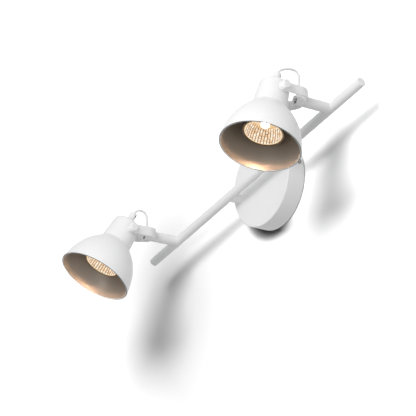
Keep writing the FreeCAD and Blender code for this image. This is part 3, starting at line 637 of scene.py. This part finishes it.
def placed(name: str, data: ID) -> Object:
    """A new object in the scene, at the origin."""
    thing = bpy.data.objects.new(name, data)
    bpy.context.scene.collection.objects.link(thing)
    return thing


def baked_mesh(thing: Object) -> BMesh:
    """The evaluated shape of a helper object, which is removed afterwards."""
    bpy.context.view_layer.update()
    graph = bpy.context.evaluated_depsgraph_get()
    data = bpy.data.meshes.new_from_object(thing.evaluated_get(graph), depsgraph=graph)
    thing.modifiers.clear()
    bpy.data.objects.remove(thing)
    mesh = bmesh.new()
    mesh.from_mesh(data)
    return mesh


# Sub-assemblies


@dataclass
class Stance:
    """Where one head stands at rest, read from the joints, and what rides there."""

    side: Side
    swing_reach_deg: float = 160.0
    least_tilt_deg: float = 25.0

    def joint(self, kind: str) -> dict[str, object]:
        """One of this side's joints."""
        return next(j for j in frame["joints"] if j["name"] == f"{kind}_{self.side.value}")

    @property
    def yoke(self) -> Matrix:
        """Frame at the arm's end: X through the yoke's legs and -Y away from the wall."""
        swivel = self.joint("swivel")
        swing = math.radians(swivel["range_deg"][0] + self.swing_reach_deg)
        return Matrix.Translation(swivel["pos_m"]) @ Matrix.Rotation(-swing, 4, "Y")

    @property
    def head(self) -> Matrix:
        """Frame on the tilt axis: X along it and +Z up the neck."""
        tilt = self.joint("tilt")
        lean = math.radians(self.least_tilt_deg - tilt["range_deg"][0] - 90.0)
        turn = self.yoke.to_3x3().to_4x4()
        return Matrix.Translation(tilt["pos_m"]) @ turn @ Matrix.Rotation(lean, 4, "X")

    def piece(self, part: Part, name: str, mesh: BMesh, finish: Finish, replaces: str = "",
              place: Matrix | None = None, smooth_deg: float = SMOOTH_DEG) -> Object:
        """Turns a mesh into a finished piece of this side.

        Args:
            part: What it rides on.
            name: The piece's name, without its side.
            mesh: Its shape.
            finish: Its finish.
            replaces: The CAD node that it stands for, without its side.
            place: Where its own frame stands, which is the part's frame if nothing is given.
            smooth_deg: Edges bent less than this are shaded smooth.

        Returns:
            The object, at the origin, with its place in its mesh.
        """
        side, slot = self.side.value, finish.name.lower()
        if place is None:
            place = self.yoke if part is Part.YOKE else self.head
        bmesh.ops.transform(mesh, matrix=place, verts=mesh.verts)
        data = bpy.data.meshes.new(f"{name}_{side}")
        mesh.to_mesh(data)
        mesh.free()
        data.materials.append(finish.material)
        data.shade_smooth()
        data.set_sharp_from_angle(angle=math.radians(smooth_deg))
        thing = placed(f"{name}_{side}", data)
        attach(thing, f"{part.value}_{side}")
        if replaces:
            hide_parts(f"{replaces}_{side}")
        return thing


@dataclass
class Shade:
    """Spun shade: white outside with a rolled rim, satin silver inside."""

    stance: Stance
    wall: float = 1.2
    rim_radius: float = 49.1
    rim_drop: float = 79.6
    rim_ease: float = 0.3
    bead: float = 1.2
    bead_height: float = 2.2
    dome_radius: float = 76.0
    neck_base_radius: float = 21.4
    neck_base_drop: float = 24.0
    neck_top_radius: float = 18.9
    neck_rise: float = 13.4
    shoulder: float = 5.0
    stem_radius: float = 4.0
    ease: float = 3.0
    lining_gap: float = 0.05
    lining_wall: float = 0.05
    lining_start: float = 0.4
    # Painted shade: a thin dark ring on the underside of the bead, where shade falls.
    raw_edge_radius: float = 47.75
    raw_edge_deg: Pair = (-66.0, -46.0)
    raw_edge_skin: float = 0.04
    raw_edge_root: float = 0.2
    steps: int = 160
    dome_steps: int = 36
    bend_steps: int = 10

    @property
    def foot(self) -> float:
        """Outer radius where the dome meets the rolled rim."""
        half = self.bead_height / 2
        return self.rim_radius - (self.bead - math.sqrt(self.bead ** 2 - half ** 2))

    def outer(self, inset: float = 0.0) -> list[Point]:
        """Section from the rim up over the dome and the neck, moved in by an inset."""
        bead_top = self.bead_height - self.rim_drop
        base = (self.neck_base_radius - inset, -self.neck_base_drop - inset / 2)
        points = [(self.foot - inset, bead_top)]
        points += arc(points[-1], base, self.dome_radius - inset, self.dome_steps)
        points.append((self.neck_top_radius - inset, self.neck_rise - self.shoulder))
        points = eased(points, base, self.ease)
        corner = (self.neck_top_radius - self.shoulder, self.neck_rise - inset)
        return points + arc(points[-1], corner, self.shoulder - inset, self.bend_steps)

    def skin(self) -> list[Point]:
        """Section of the white sheet, from its rim over the outside and back down the inside."""
        foot, inner_foot = (self.foot, -self.rim_drop), (self.foot - self.wall, -self.rim_drop)
        bead_top = (self.foot, self.bead_height - self.rim_drop)
        section = [inner_foot, foot] + arc(foot, bead_top, self.bead, self.bend_steps)[:-1] + self.outer()
        section += [(self.stem_radius, self.neck_rise), (self.stem_radius, self.neck_rise - self.wall)]
        section += reversed(self.outer(self.wall))
        return eased(section, inner_foot, self.rim_ease, steps=3)

    def lining(self) -> list[Point]:
        """Section of the silver coat, a thin layer inside the sheet that ends short of its rim."""
        rim_line = self.lining_start - self.rim_drop
        near = self.outer(self.wall + self.lining_gap)
        far = self.outer(self.wall + self.lining_gap + self.lining_wall)
        return [(far[0][0], rim_line)] + far + near[::-1] + [(near[0][0], rim_line)]

    def raw_edge(self, steps: int = 8) -> list[Point]:
        """Section of a dark line of painted shade on the lower outside of the rolled rim's bead."""
        x, z = self.rim_radius - self.bead, self.bead_height / 2 - self.rim_drop
        start, end = map(math.radians, self.raw_edge_deg)
        angles = [start + (end - start) * step / steps for step in range(steps + 1)]
        section = [(self.raw_edge_radius, -self.rim_drop - self.raw_edge_skin)]
        for reach, way in ((self.bead + self.raw_edge_skin, 1), (self.bead - self.raw_edge_root, -1)):
            section += [(x + reach * math.cos(a), z + reach * math.sin(a)) for a in angles[::way]]
        return section + [(self.raw_edge_radius, self.raw_edge_root - self.rim_drop)]

    def build(self) -> list[Object]:
        """Makes the white skin, the silver lining and the painted shade line under the rim."""
        return [self.stance.piece(Part.HEAD, name, turned(section, self.steps), finish, node)
                for name, section, finish, node in (
                    ("shade_skin", self.skin(), Finish.WHITE_COAT, "shade"),
                    ("shade_lining", self.lining(), Finish.SPUN_SILVER, ""),
                    ("shade_raw_edge", self.raw_edge(), Finish.RAW_EDGE, ""))]


@dataclass
class Lamp:
    """Twist-in reflector lamp: faceted bowl, bright glass rim, front glass and glowing capsule."""

    stance: Stance
    face_drop: float = 60.0
    radius: float = 25.0
    rim_height: float = 3.6
    rim_ease: float = 0.4
    wall: float = 1.3
    bowl_radius: float = 24.1
    bowl_depth: float = 27.0
    bowl_curve: float = 30.0
    throat_radius: float = 8.5
    throat_height: float = 3.4
    glass: float = 1.6
    glass_gap: float = 0.1
    glass_dome: float = 0.35
    capsule_radius: float = 5.6
    capsule_length: float = 26.0
    capsule_steps: int = 48
    facet_rows: int = 9
    facet_columns: int = 40
    facet_rise: float = 0.3
    facet_gap: float = 0.05
    facet_seed: int = 7
    cream_rim: Pair = (21.5, 22.7)
    amber_rim: Pair = (22.7, 24.6)
    ring_bulge: float = 0.62
    ring_smooth_deg: float = 70.0

    @property
    def face(self) -> float:
        """Height of the lamp's front."""
        return -self.face_drop

    @property
    def base_foot(self) -> float:
        """Height where the bowl's throat meets the base block."""
        return self.face + self.rim_height + self.bowl_depth + self.throat_height

    def bowl(self, inset: float = 0.0, steps: int = 24) -> list[Point]:
        """Section of the bowl from its wide end to its throat, moved in by an inset."""
        start = (self.bowl_radius - inset, self.face + self.rim_height)
        end = (self.throat_radius - inset, self.face + self.rim_height + self.bowl_depth)
        return [start] + arc(start, end, self.bowl_curve - inset, steps)

    def shell(self) -> list[Point]:
        """Section of the pressed glass reflector."""
        inner, throat = self.radius - self.wall, self.throat_radius
        section = [(inner, self.face), (self.radius - self.rim_ease, self.face)]
        section += arc(section[-1], (self.radius, self.face + self.rim_ease), self.rim_ease, steps=3)
        section += [(self.radius, self.face + self.rim_height)] + self.bowl()
        section += [(throat, self.base_foot), (throat - self.wall, self.base_foot)]
        return section + self.bowl(self.wall)[::-1] + [(inner, self.face + self.glass)]

    def front(self) -> list[Point]:
        """Section of the front glass, domed towards its middle."""
        reach, lowest = self.cream_rim[0] - self.glass_gap, self.face - self.glass_gap
        return [(0.0, lowest), (reach, lowest + self.glass_dome), (reach, self.face + self.glass),
                (0.0, self.face + self.glass)]

    def capsule(self) -> list[Point]:
        """Section of the capsule from its round tip to the base block."""
        tip, reach = self.base_foot - self.capsule_length, self.capsule_radius
        dome = arc((0.0, tip), (reach, tip + reach), reach)
        return [(0.0, tip)] + dome + [(reach, self.base_foot), (0.0, self.base_foot)]

    def ring(self, near: float, far: float) -> list[Point]:
        """Section of a round-faced ring of the front glass between two radii."""
        foot = self.face + self.rim_ease
        return [(far, foot)] + arc((far, foot), (near, foot), (far - near) * self.ring_bulge)

    def build(self) -> list[Object]:
        """Makes every piece of the lamp."""
        made = [self.stance.piece(Part.HEAD, "lamp_facets", self.facets(), Finish.FACETS, smooth_deg=20)]
        capsule = turned(self.capsule(), self.capsule_steps)
        for name, mesh, finish, node in (
                ("lamp_bowl", turned(self.shell()), Finish.REFLECTOR_GLASS, "lamp_reflector"),
                ("lamp_cream_ring", turned(self.ring(*self.cream_rim)), Finish.GLOWING_RIM, ""),
                ("lamp_amber_ring", turned(self.ring(*self.amber_rim)), Finish.AMBER_RIM, ""),
                ("lamp_glass", turned(self.front()), Finish.CLEAR_GLASS, "lamp_front_glass"),
                ("lamp_capsule_lit", capsule, Finish.FILAMENT, "lamp_capsule")):
            smooth = SMOOTH_DEG if node else self.ring_smooth_deg
            made.append(self.stance.piece(Part.HEAD, name, mesh, finish, node, smooth_deg=smooth))
        return made

    def facets(self) -> BMesh:
        """Raises a pillow on every face of a plain grid that follows the bowl."""
        lip = (self.radius - self.wall - self.facet_gap, self.face + self.glass + self.facet_gap)
        line = [lip] + self.bowl(self.wall + self.facet_gap, self.facet_rows)
        grid = turned(line, self.facet_columns, closed=False)
        if sum(face.normal.xy.dot(face.calc_center_median().xy) for face in grid.faces) > 0:
            bmesh.ops.reverse_faces(grid, faces=grid.faces)
        data = bpy.data.meshes.new("facet_grid")
        grid.to_mesh(data)
        grid.free()
        carrier = placed("facet_grid", data)
        tree = FacetTree("lamp_facets")
        modifier = carrier.modifiers.new("facets", "NODES")
        modifier.node_group = tree.group
        tree.set_inputs(modifier, rise=self.facet_rise * MM, seed=self.facet_seed,
                        throat=(self.face + self.rim_height) * MM, depth=self.bowl_depth * MM)
        return baked_mesh(carrier)


class FacetTree:
    """Geometry Nodes: lifts each face of a grid to a small pillow and stores its painted reflection and flank
    shade.
    """

    inputs = {"rise": "Float", "seed": "Int", "throat": "Float", "depth": "Float"}
    top_share = 0.72
    least_seam = 0.3
    seam_gain = 1.4

    def __init__(self, name: str) -> None:
        """Builds the tree with its named inputs."""
        self.group = bpy.data.node_groups.new(name, "GeometryNodeTree")
        face = self.group.interface
        for way in ("INPUT", "OUTPUT"):
            face.new_socket("Geometry", in_out=way, socket_type="NodeSocketGeometry")
        self.ids = {label: face.new_socket(label, in_out="INPUT", socket_type=f"NodeSocket{kind}").identifier
                    for label, kind in self.inputs.items()}
        given = self.group.nodes.new("NodeGroupInput").outputs
        lift = self.node("ExtrudeMesh", {"mode": "FACES"}, Mesh=given["Geometry"], Offset_Scale=given["rise"],
                         Individual=True).outputs
        shape = self.node("ScaleElements", Geometry=lift["Mesh"], Selection=lift["Top"], Scale=self.top_share)
        index = self.node("InputIndex").outputs[0]
        chance = add_node(self.group, "FunctionNodeRandomValue", {"data_type": "FLOAT"}, ID=index,
                          Seed=given["seed"])
        value = next(s for s in chance.outputs if s.enabled)
        place = self.node("InputPosition").outputs[0]
        height = add_node(self.group, "ShaderNodeSeparateXYZ", Vector=place).outputs["Z"]
        height, throat, depth, side = (Wire(self.group, socket) for socket in (
            height, given["throat"], given["depth"], lift["Side"]))
        # Stored for the painted light: the flank's painted shade, a random reflection brightness for each
        # facet, and the depth in the bowl.
        for label, domain, level in (("flank", "FACE", self.seam(side)), ("facet", "FACE", value),
                                     ("depth", "POINT", (height - throat) / depth)):
            shape = self.node("StoreNamedAttribute", {"data_type": "FLOAT", "domain": domain},
                              Geometry=shape.outputs[0], Name=label, Value=level)
        real = self.node("RealizeInstances", Geometry=shape.outputs[0])
        dressed = self.node("SetMaterial", Geometry=real.outputs[0], Material=Finish.FACETS.material)
        self.group.links.new(dressed.outputs[0], self.group.nodes.new("NodeGroupOutput").inputs[0])

    def node(self, kind: str, settings: Settings = None, **sockets: object) -> Node:
        """Adds a geometry node, its type without the GeometryNode prefix and the rest as in add_node."""
        return add_node(self.group, f"GeometryNode{kind}", settings, **sockets)

    def seam(self, side: Wire) -> Wire:
        """How much painted shade a pillow's flank gets: full where it faces round the bowl, faint where it
        faces along it.
        """
        place, normal = (self.node(kind).outputs[0] for kind in ("InputPosition", "InputNormal"))
        across = vector_node(self.group, "CROSS_PRODUCT", (0.0, 0.0, 1.0), place).outputs[0]
        round_way = vector_node(self.group, "NORMALIZE", across).outputs[0]
        lean = measured(self.group, "DOT_PRODUCT", round_way, normal)
        return (lean.maths("ABSOLUTE", lean) * self.seam_gain + self.least_seam) * side

    def set_inputs(self, modifier: Modifier, **values: float) -> None:
        """Sets a modifier's inputs by their identifiers."""
        for label, value in values.items():
            modifier[self.ids[label]] = value


@dataclass
class Strap:
    """Yoke strap: a flat blank with round ends and eased edges, folded to a stirrup."""

    stance: Stance
    width: float = 12.4
    thick: float = 2.0
    gap: float = 40.8
    back_flat: float = 6.0
    reach: float = 46.0
    ease: float = 0.45
    end_steps: int = 14
    long_steps: int = 72
    edge_steps: int = 4

    @property
    def bend(self) -> float:
        """Radius of the fold at the strap's middle layer."""
        return self.gap / 2 + self.thick / 2 - self.back_flat / 2

    @property
    def half_blank(self) -> float:
        """Length of the blank from its middle to a pivot."""
        leg = self.reach - self.bend - self.thick / 2
        return self.back_flat / 2 + self.bend * math.pi / 2 + leg

    def stations(self, half_width: float) -> list[Point]:
        """Places along the blank, each with the half width there."""
        pivot = self.half_blank
        end = []
        for step in range(self.end_steps + 1):
            angle = math.pi / 2 * (1 - step / self.end_steps)
            end.append((-pivot - half_width * math.sin(angle), half_width * math.cos(angle)))
        stride = 2 * pivot / self.long_steps
        inner = [(stride * step - pivot, half_width) for step in range(1, self.long_steps)]
        return end + inner + [(-place, half) for place, half in reversed(end)]

    def levels(self) -> list[Point]:
        """Round the eased edge: height over the middle layer, each with the inset from the blank's side."""
        flat = self.thick / 2 - self.ease
        upper = []
        for step in range(self.edge_steps + 1):
            angle = math.pi / 2 * step / self.edge_steps
            upper.append((flat + self.ease * math.cos(angle), self.ease * (1 - math.sin(angle))))
        return upper + [(-out, inset) for out, inset in reversed(upper)]

    def folded(self, along: float, across: float, out: float) -> Vector:
        """A point of the blank after folding.

        Args:
            along: Way from the blank's middle.
            across: Way across its width.
            out: Height over its middle layer, away from the yoke's inside.

        Returns:
            The point in the yoke's frame, in metres.
        """
        rest = abs(along) - self.back_flat / 2
        angle = min(max(rest / self.bend, 0.0), math.pi / 2)
        leg = max(rest - self.bend * math.pi / 2, 0.0)
        x = self.back_flat / 2 + min(rest, 0.0) + (self.bend + out) * math.sin(angle)
        y = (self.bend + out) * math.cos(angle) - self.bend - self.thick / 2 - leg
        return Vector((math.copysign(x, along), y, across)) * MM

    def build(self) -> Object:
        """Makes the folded strap."""
        mesh = bmesh.new()
        rows = []
        for out, inset in self.levels():
            stations = self.stations(self.width / 2 - inset)
            rows.append([[mesh.verts.new(self.folded(along, way * half, out)) for along, half in stations]
                         for way in (1, -1)])
        for (upper, lower), (next_upper, next_lower) in zip(rows, rows[1:]):
            bridge(mesh, upper, next_upper)
            bridge(mesh, next_lower, lower)
        for upper, lower in (rows[0], rows[-1]):
            bridge(mesh, lower, upper)
        return self.stance.piece(Part.YOKE, "yoke_strap_folded", cleaned(mesh, WELD * 10), Finish.WHITE_COAT,
                                 "yoke_strap", smooth_deg=50)


@dataclass
class BarrelScrew:
    """Socket screw in the front of the swivel barrel, under the cable's slot."""

    stance: Stance
    place: Pair = (-0.4, -3.7)
    face: float = 12.5
    radius: float = 2.0
    socket_radius: float = 1.4
    socket_sides: int = 6
    socket_floor: float = 0.1
    socket_slack: float = 0.02
    # Painted shade: a near-black fill in the socket's floor, where the recess lies in shade.
    fill_side: float = 0.35
    fill_middle: float = 0.2
    proud: float = 0.5
    length: float = 3.0
    edge: float = 0.25
    steps: int = 32

    def build(self) -> list[Object]:
        """Makes the screw and a near-black painted shade that fills the floor of its hexagon socket."""
        across, height = self.place
        seat = Matrix.Translation(Vector((across, -self.face, height)) * MM)
        place = self.stance.yoke @ seat @ Matrix.Rotation(math.pi / 2, 4, "X")
        rim, top, floor = self.radius - self.edge, self.proud, self.socket_floor
        screw = [(0.0, -self.length), (rim, -self.length), (rim, 0.0), (self.radius, 0.0)]
        screw += arc((self.radius, top - self.edge), (rim, top), self.edge, steps=4)
        screw += [(self.socket_radius, top), (self.socket_radius, floor), (0.0, floor)]
        foot, reach = floor + self.socket_slack, self.socket_radius - self.socket_slack
        socket = [(0.0, foot), (reach, foot), (reach, self.fill_side), (0.0, self.fill_middle)]
        return [self.stance.piece(Part.YOKE, name, turned(section, steps), finish, place=place)
                for name, section, steps, finish in (
                    ("barrel_screw", screw, self.steps, Finish.NICKEL),
                    ("barrel_socket", socket, self.socket_sides, Finish.SOCKET))]


@dataclass
class Cable:
    """Free loop of round cable from the grip on the neck down into the barrel."""

    stance: Stance
    diameter: float = 3.0
    order: int = 3
    steps: int = 12
    round_steps: int = 6
    entry: Triple = (0.0, -8.0, 12.0)
    routes: dict[Side, tuple[Point, ...]] = field(default_factory=lambda: {
        Side.LEFT: (
            (30.9, 26.4), (28.8, 29.4), (25.2, 31.8), (20.0, 32.6), (15.0, 31.0), (11.6, 27.2),
            (10.4, 22.4), (9.8, 17.4), (9.6, 12.6), (9.4, 8.4), (9.4, 3.6), (6.6, 0.6), (1.0, 0.0),
        ),
        Side.RIGHT: (
            (36.6, 29.0), (34.6, 31.8), (30.6, 35.0), (23.4, 38.2), (15.2, 40.0), (8.4, 39.6),
            (4.6, 36.0), (3.6, 30.6), (5.0, 22.6), (7.6, 14.8), (9.4, 8.4), (9.4, 3.6), (6.6, 0.6),
            (1.0, 0.0),
        ),
    })

    def spline(self, bevel: float) -> BMesh:
        """The route's NURBS line as a mesh, bare or as a tube."""
        curve = bpy.data.curves.new("cable_route", "CURVE")
        curve.dimensions = "3D"
        curve.resolution_u = self.steps
        curve.bevel_depth = bevel
        curve.bevel_resolution = self.round_steps
        curve.use_fill_caps = True
        line = curve.splines.new("NURBS")
        route = self.routes[self.stance.side]
        line.points.add(len(route) - 1)
        for point, (ahead, height) in zip(line.points, route):
            point.co = (*(self.stance.yoke @ Vector((0, -ahead * MM, height * MM))), 1.0)
        line.order_u = self.order
        line.use_endpoint_u = True
        return baked_mesh(placed("cable_route", curve))

    def build(self) -> Object:
        line = self.spline(0.0)
        line.free()
        tube = self.stance.piece(Part.YOKE, "cable", self.spline(self.diameter / 2 * MM), Finish.WHITE_PVC,
                                 "cable_loop", Matrix(), smooth_deg=60)
        tube.parent = None
        del tube["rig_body"]
        self.stance.yoke @ (Vector(self.entry) * MM)
        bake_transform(tube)
        return tube


# Studio


@dataclass
class Studio:
    """White wall and floor, a soft light and a low fill from the right front, and one for the wall alone."""

    key_place: Triple = (0.76, -1.34, 0.22)
    key_watts: float = 9.9
    key_size: Pair = (0.72, 0.72)
    fill_place: Triple = (0.5, -1.35, -0.6)
    fill_watts: float = 3.8
    fill_size: Pair = (1.1, 0.3)
    from_wall: float = 0.58
    from_room: float = 0.4
    from_right: float = 0.4
    wall_light_size: Pair = (0.6, 0.6)
    wall_watts: float = 17.0
    wall_gain: float = 0.9
    # Painted shadow: the wall is darkened round the left head's cast shadow to deepen it.
    dip: float = 0.22
    dip_place: Triple = (-0.275, 0.0, -0.045)
    dip_edge: Pair = (0.06, 0.14)
    far_gain: float = 1.5
    middle: Triple = (-0.06, 0.0, -0.05)
    far_edge: Pair = (0.25, 0.75)
    # Painted shade: ambient occlusion darkens the wall in the crease round the canopy and in a crescent below
    # it, on the side away from the light.
    crease: float = 0.003
    crease_samples: int = 8
    crease_edge: Pair = (0.3, 0.55)
    contact: float = 0.024
    contact_samples: int = 16
    contact_edge: Pair = (0.6, 0.35)
    lit_way: Triple = (0.45, -0.5, 0.74)
    shade_way: Triple = (-0.54, 0.0, -0.84)
    shade_edge: Pair = (0.036, 0.022)
    wall_size: float = 1.2
    floor_size: float = 3.2
    floor_drop: float = 2.6

    def light(self, name: str, place: Triple, watts: float, size: Pair, onto: Object | None = None) -> None:
        """One oval area light that looks at the origin.

        Args:
            name: The light's name.
            place: Where it hangs, in metres.
            watts: Its power.
            size: Its width and height, in metres.
            onto: The only thing that it lights, where it doesn't light everything.
        """
        data = bpy.data.lights.new(name, "AREA")
        data.shape = "ELLIPSE"
        data.size, data.size_y = size
        data.energy = watts
        lamp = placed(name, data)
        lamp.location = place
        lamp.rotation_euler = (-Vector(place)).to_track_quat("-Z", "Y").to_euler()
        if onto is not None:
            lit = bpy.data.collections.new(f"lit_by_{name}")
            lit.objects.link(onto)
            lamp.light_linking.receiver_collection = lit

    def world(self) -> None:
        """White to the camera, in gloss and through glass; to all else a soft room, brighter at its right."""
        world = bpy.data.worlds.new("studio")
        bpy.context.scene.world = world
        graph = Graph(world)
        path = graph.node("LightPath")
        kinds = ("Is Camera Ray", "Is Glossy Ray", "Is Transmission Ray")
        seen = sum(graph.wire(path, kind) for kind in kinds).limited()
        way = graph.node("SeparateXYZ", Vector=graph.node("TexCoord").outputs["Generated"])
        across, depth = graph.wire(way, "X"), graph.wire(way, "Y")
        level = ((1 + depth) * 0.5) ** 2 * self.from_wall
        level += ((1 - depth) * 0.5) ** 2 * self.from_room
        level += ((1 + across) * 0.5) ** 2 * self.from_right
        shader = graph.node("Background", Color=(1, 1, 1, 1), Strength=seen + (1 - seen) * level)
        graph.node("OutputWorld", Surface=shader.outputs[0])

    def wall_finish(self) -> Material:
        """White paint with painted shade in creases and beside what touches it, a painted deepening of the
        left head's shadow, and a painted lift where the light falls off.
        """
        graph = Graph(bpy.data.materials.new("wall"))
        place = graph.node("TexCoord").outputs["Object"]
        far = measured(graph.tree, "DISTANCE", place, self.middle).above(*self.far_edge)
        dip = measured(graph.tree, "DISTANCE", place, self.dip_place).above(*self.dip_edge)
        near = graph.node("AmbientOcclusion", {"samples": self.crease_samples}, Distance=self.crease)
        touch = graph.node("AmbientOcclusion", {"samples": self.contact_samples}, Distance=self.contact,
                           Normal=self.lit_way)
        open_crease = graph.wire(near, "AO").above(*self.crease_edge)
        open_side = graph.wire(touch, "AO").above(*self.contact_edge)
        shaded = measured(graph.tree, "DOT_PRODUCT", place, self.shade_way).above(*self.shade_edge)
        # Painted shade and shadow, and a painted lift far out, all carried in the wall's gain.
        gain = self.wall_gain - (1 - dip) * self.dip + far * self.far_gain
        return self.sheet_finish(graph, gain * (open_crease * (1 - shaded * (1 - open_side))))

    def sheet_finish(self, graph: Graph, gain: Wire | float) -> Material:
        """A matt white of a given gain that shows from its front only."""
        back = graph.wire(graph.node("NewGeometry"), "Backfacing")
        pale = graph.node("VectorMath", {"operation": "SCALE"}, Vector=(1, 1, 1), Scale=gain)
        white = graph.node("BsdfDiffuse", Color=pale.outputs[0])
        return graph.ended(graph.blended(back, white, graph.node("BsdfTransparent")))

    def sheet(self, name: str, corners: Sequence[Triple], finish: Material) -> Object:
        """A flat backdrop that the camera sees, and that takes the object's shadow."""
        data = bpy.data.meshes.new(name)
        data.from_pydata(corners, [], [(0, 1, 2, 3)])
        data.materials.append(finish)
        thing = placed(name, data)
        for ray in ("diffuse", "glossy", "transmission", "shadow"):
            setattr(thing, f"visible_{ray}", False)
        return thing

    def build(self) -> None:
        """Makes the backdrop, the floor and the lights."""
        self.world()
        self.light("key", self.key_place, self.key_watts, self.key_size)
        self.light("fill", self.fill_place, self.fill_watts, self.fill_size)
        square = [(-1, -1), (1, -1), (1, 1), (-1, 1)]
        wall = [(x * self.wall_size, 0, z * self.wall_size) for x, z in square]
        floor = [(x * self.floor_size, y * self.floor_size, -self.floor_drop) for x, y in square]
        backdrop = self.sheet("wall", wall, self.wall_finish())
        self.light("wall_light", self.key_place, self.wall_watts, self.wall_light_size, onto=backdrop)
        self.sheet("floor", floor, self.sheet_finish(Graph(bpy.data.materials.new("floor")), 1.0))


@dataclass
class Camera:
    """The photograph's viewpoint: below the bar and to its right, looking up."""

    frame_px: float = 416.0
    focal_px: float = 1552.3
    azimuth_deg: float = 52.05
    elevation_deg: float = -29.69
    roll_deg: float = -8.79
    distance: float = 2029.7
    origin_px: Point = (276.134, 185.383)
    origin: Triple = (0.0, -1.0, 0.0)
    sensor: float = 36.0
    clip: float = 100.0

    def build(self) -> None:
        """Makes the camera."""
        azimuth, elevation, roll = map(math.radians, (self.azimuth_deg, self.elevation_deg, self.roll_deg))
        back = Vector((math.sin(azimuth) * math.cos(elevation), -math.cos(azimuth) * math.cos(elevation),
                       math.sin(elevation)))
        level = Vector((0, 0, 1)).cross(back).normalized()
        plumb = back.cross(level)
        right = level * math.cos(roll) + plumb * math.sin(roll)
        up = plumb * math.cos(roll) - level * math.sin(roll)
        per_px = self.distance / self.focal_px
        across = (self.origin_px[0] - self.frame_px / 2) * per_px
        down = (self.origin_px[1] - self.frame_px / 2) * per_px
        place = Vector(self.origin) + back * self.distance - right * across + up * down
        data = bpy.data.cameras.new("camera")
        data.sensor_width = self.sensor
        data.lens = self.sensor * self.focal_px / self.frame_px
        data.clip_end = self.clip
        thing = placed("camera", data)
        turn = Matrix((right, up, back)).transposed().to_4x4()
        thing.matrix_world = Matrix.Translation(place * MM) @ turn
        bpy.context.scene.camera = thing


def dress_nodes() -> None:
    """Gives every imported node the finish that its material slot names."""
    slots = {entry["node"]: entry["material_slot"] for entry in frame["record"]["subparts"]}
    for name, thing in frame["nodes"].items():
        thing.data.materials.clear()
        thing.data.materials.append(Finish[slots[name].upper()].material)


def corners(bounds: tuple[Vector, Vector]) -> list[list[float]]:
    """A box as plain lists of numbers."""
    return [list(corner) for corner in bounds]


def main() -> None:
    """Builds the wall bar piece by piece."""
    logging.basicConfig(level=logging.INFO, format="%(message)s")
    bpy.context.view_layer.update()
    bpy.context.scene.view_settings.view_transform = "Standard"
    Camera().build()
    Studio().build()
    dress_nodes()
    for side in Side:
        stance = Stance(side)
        log.info("cable %s", Cable(stance).build().name)
        log.info("strap %s", Strap(stance).build().name)
        for made in Shade(stance).build() + Lamp(stance).build() + BarrelScrew(stance).build():
            log.info("piece %s", made.name)


if __name__ == "__main__":
    main()
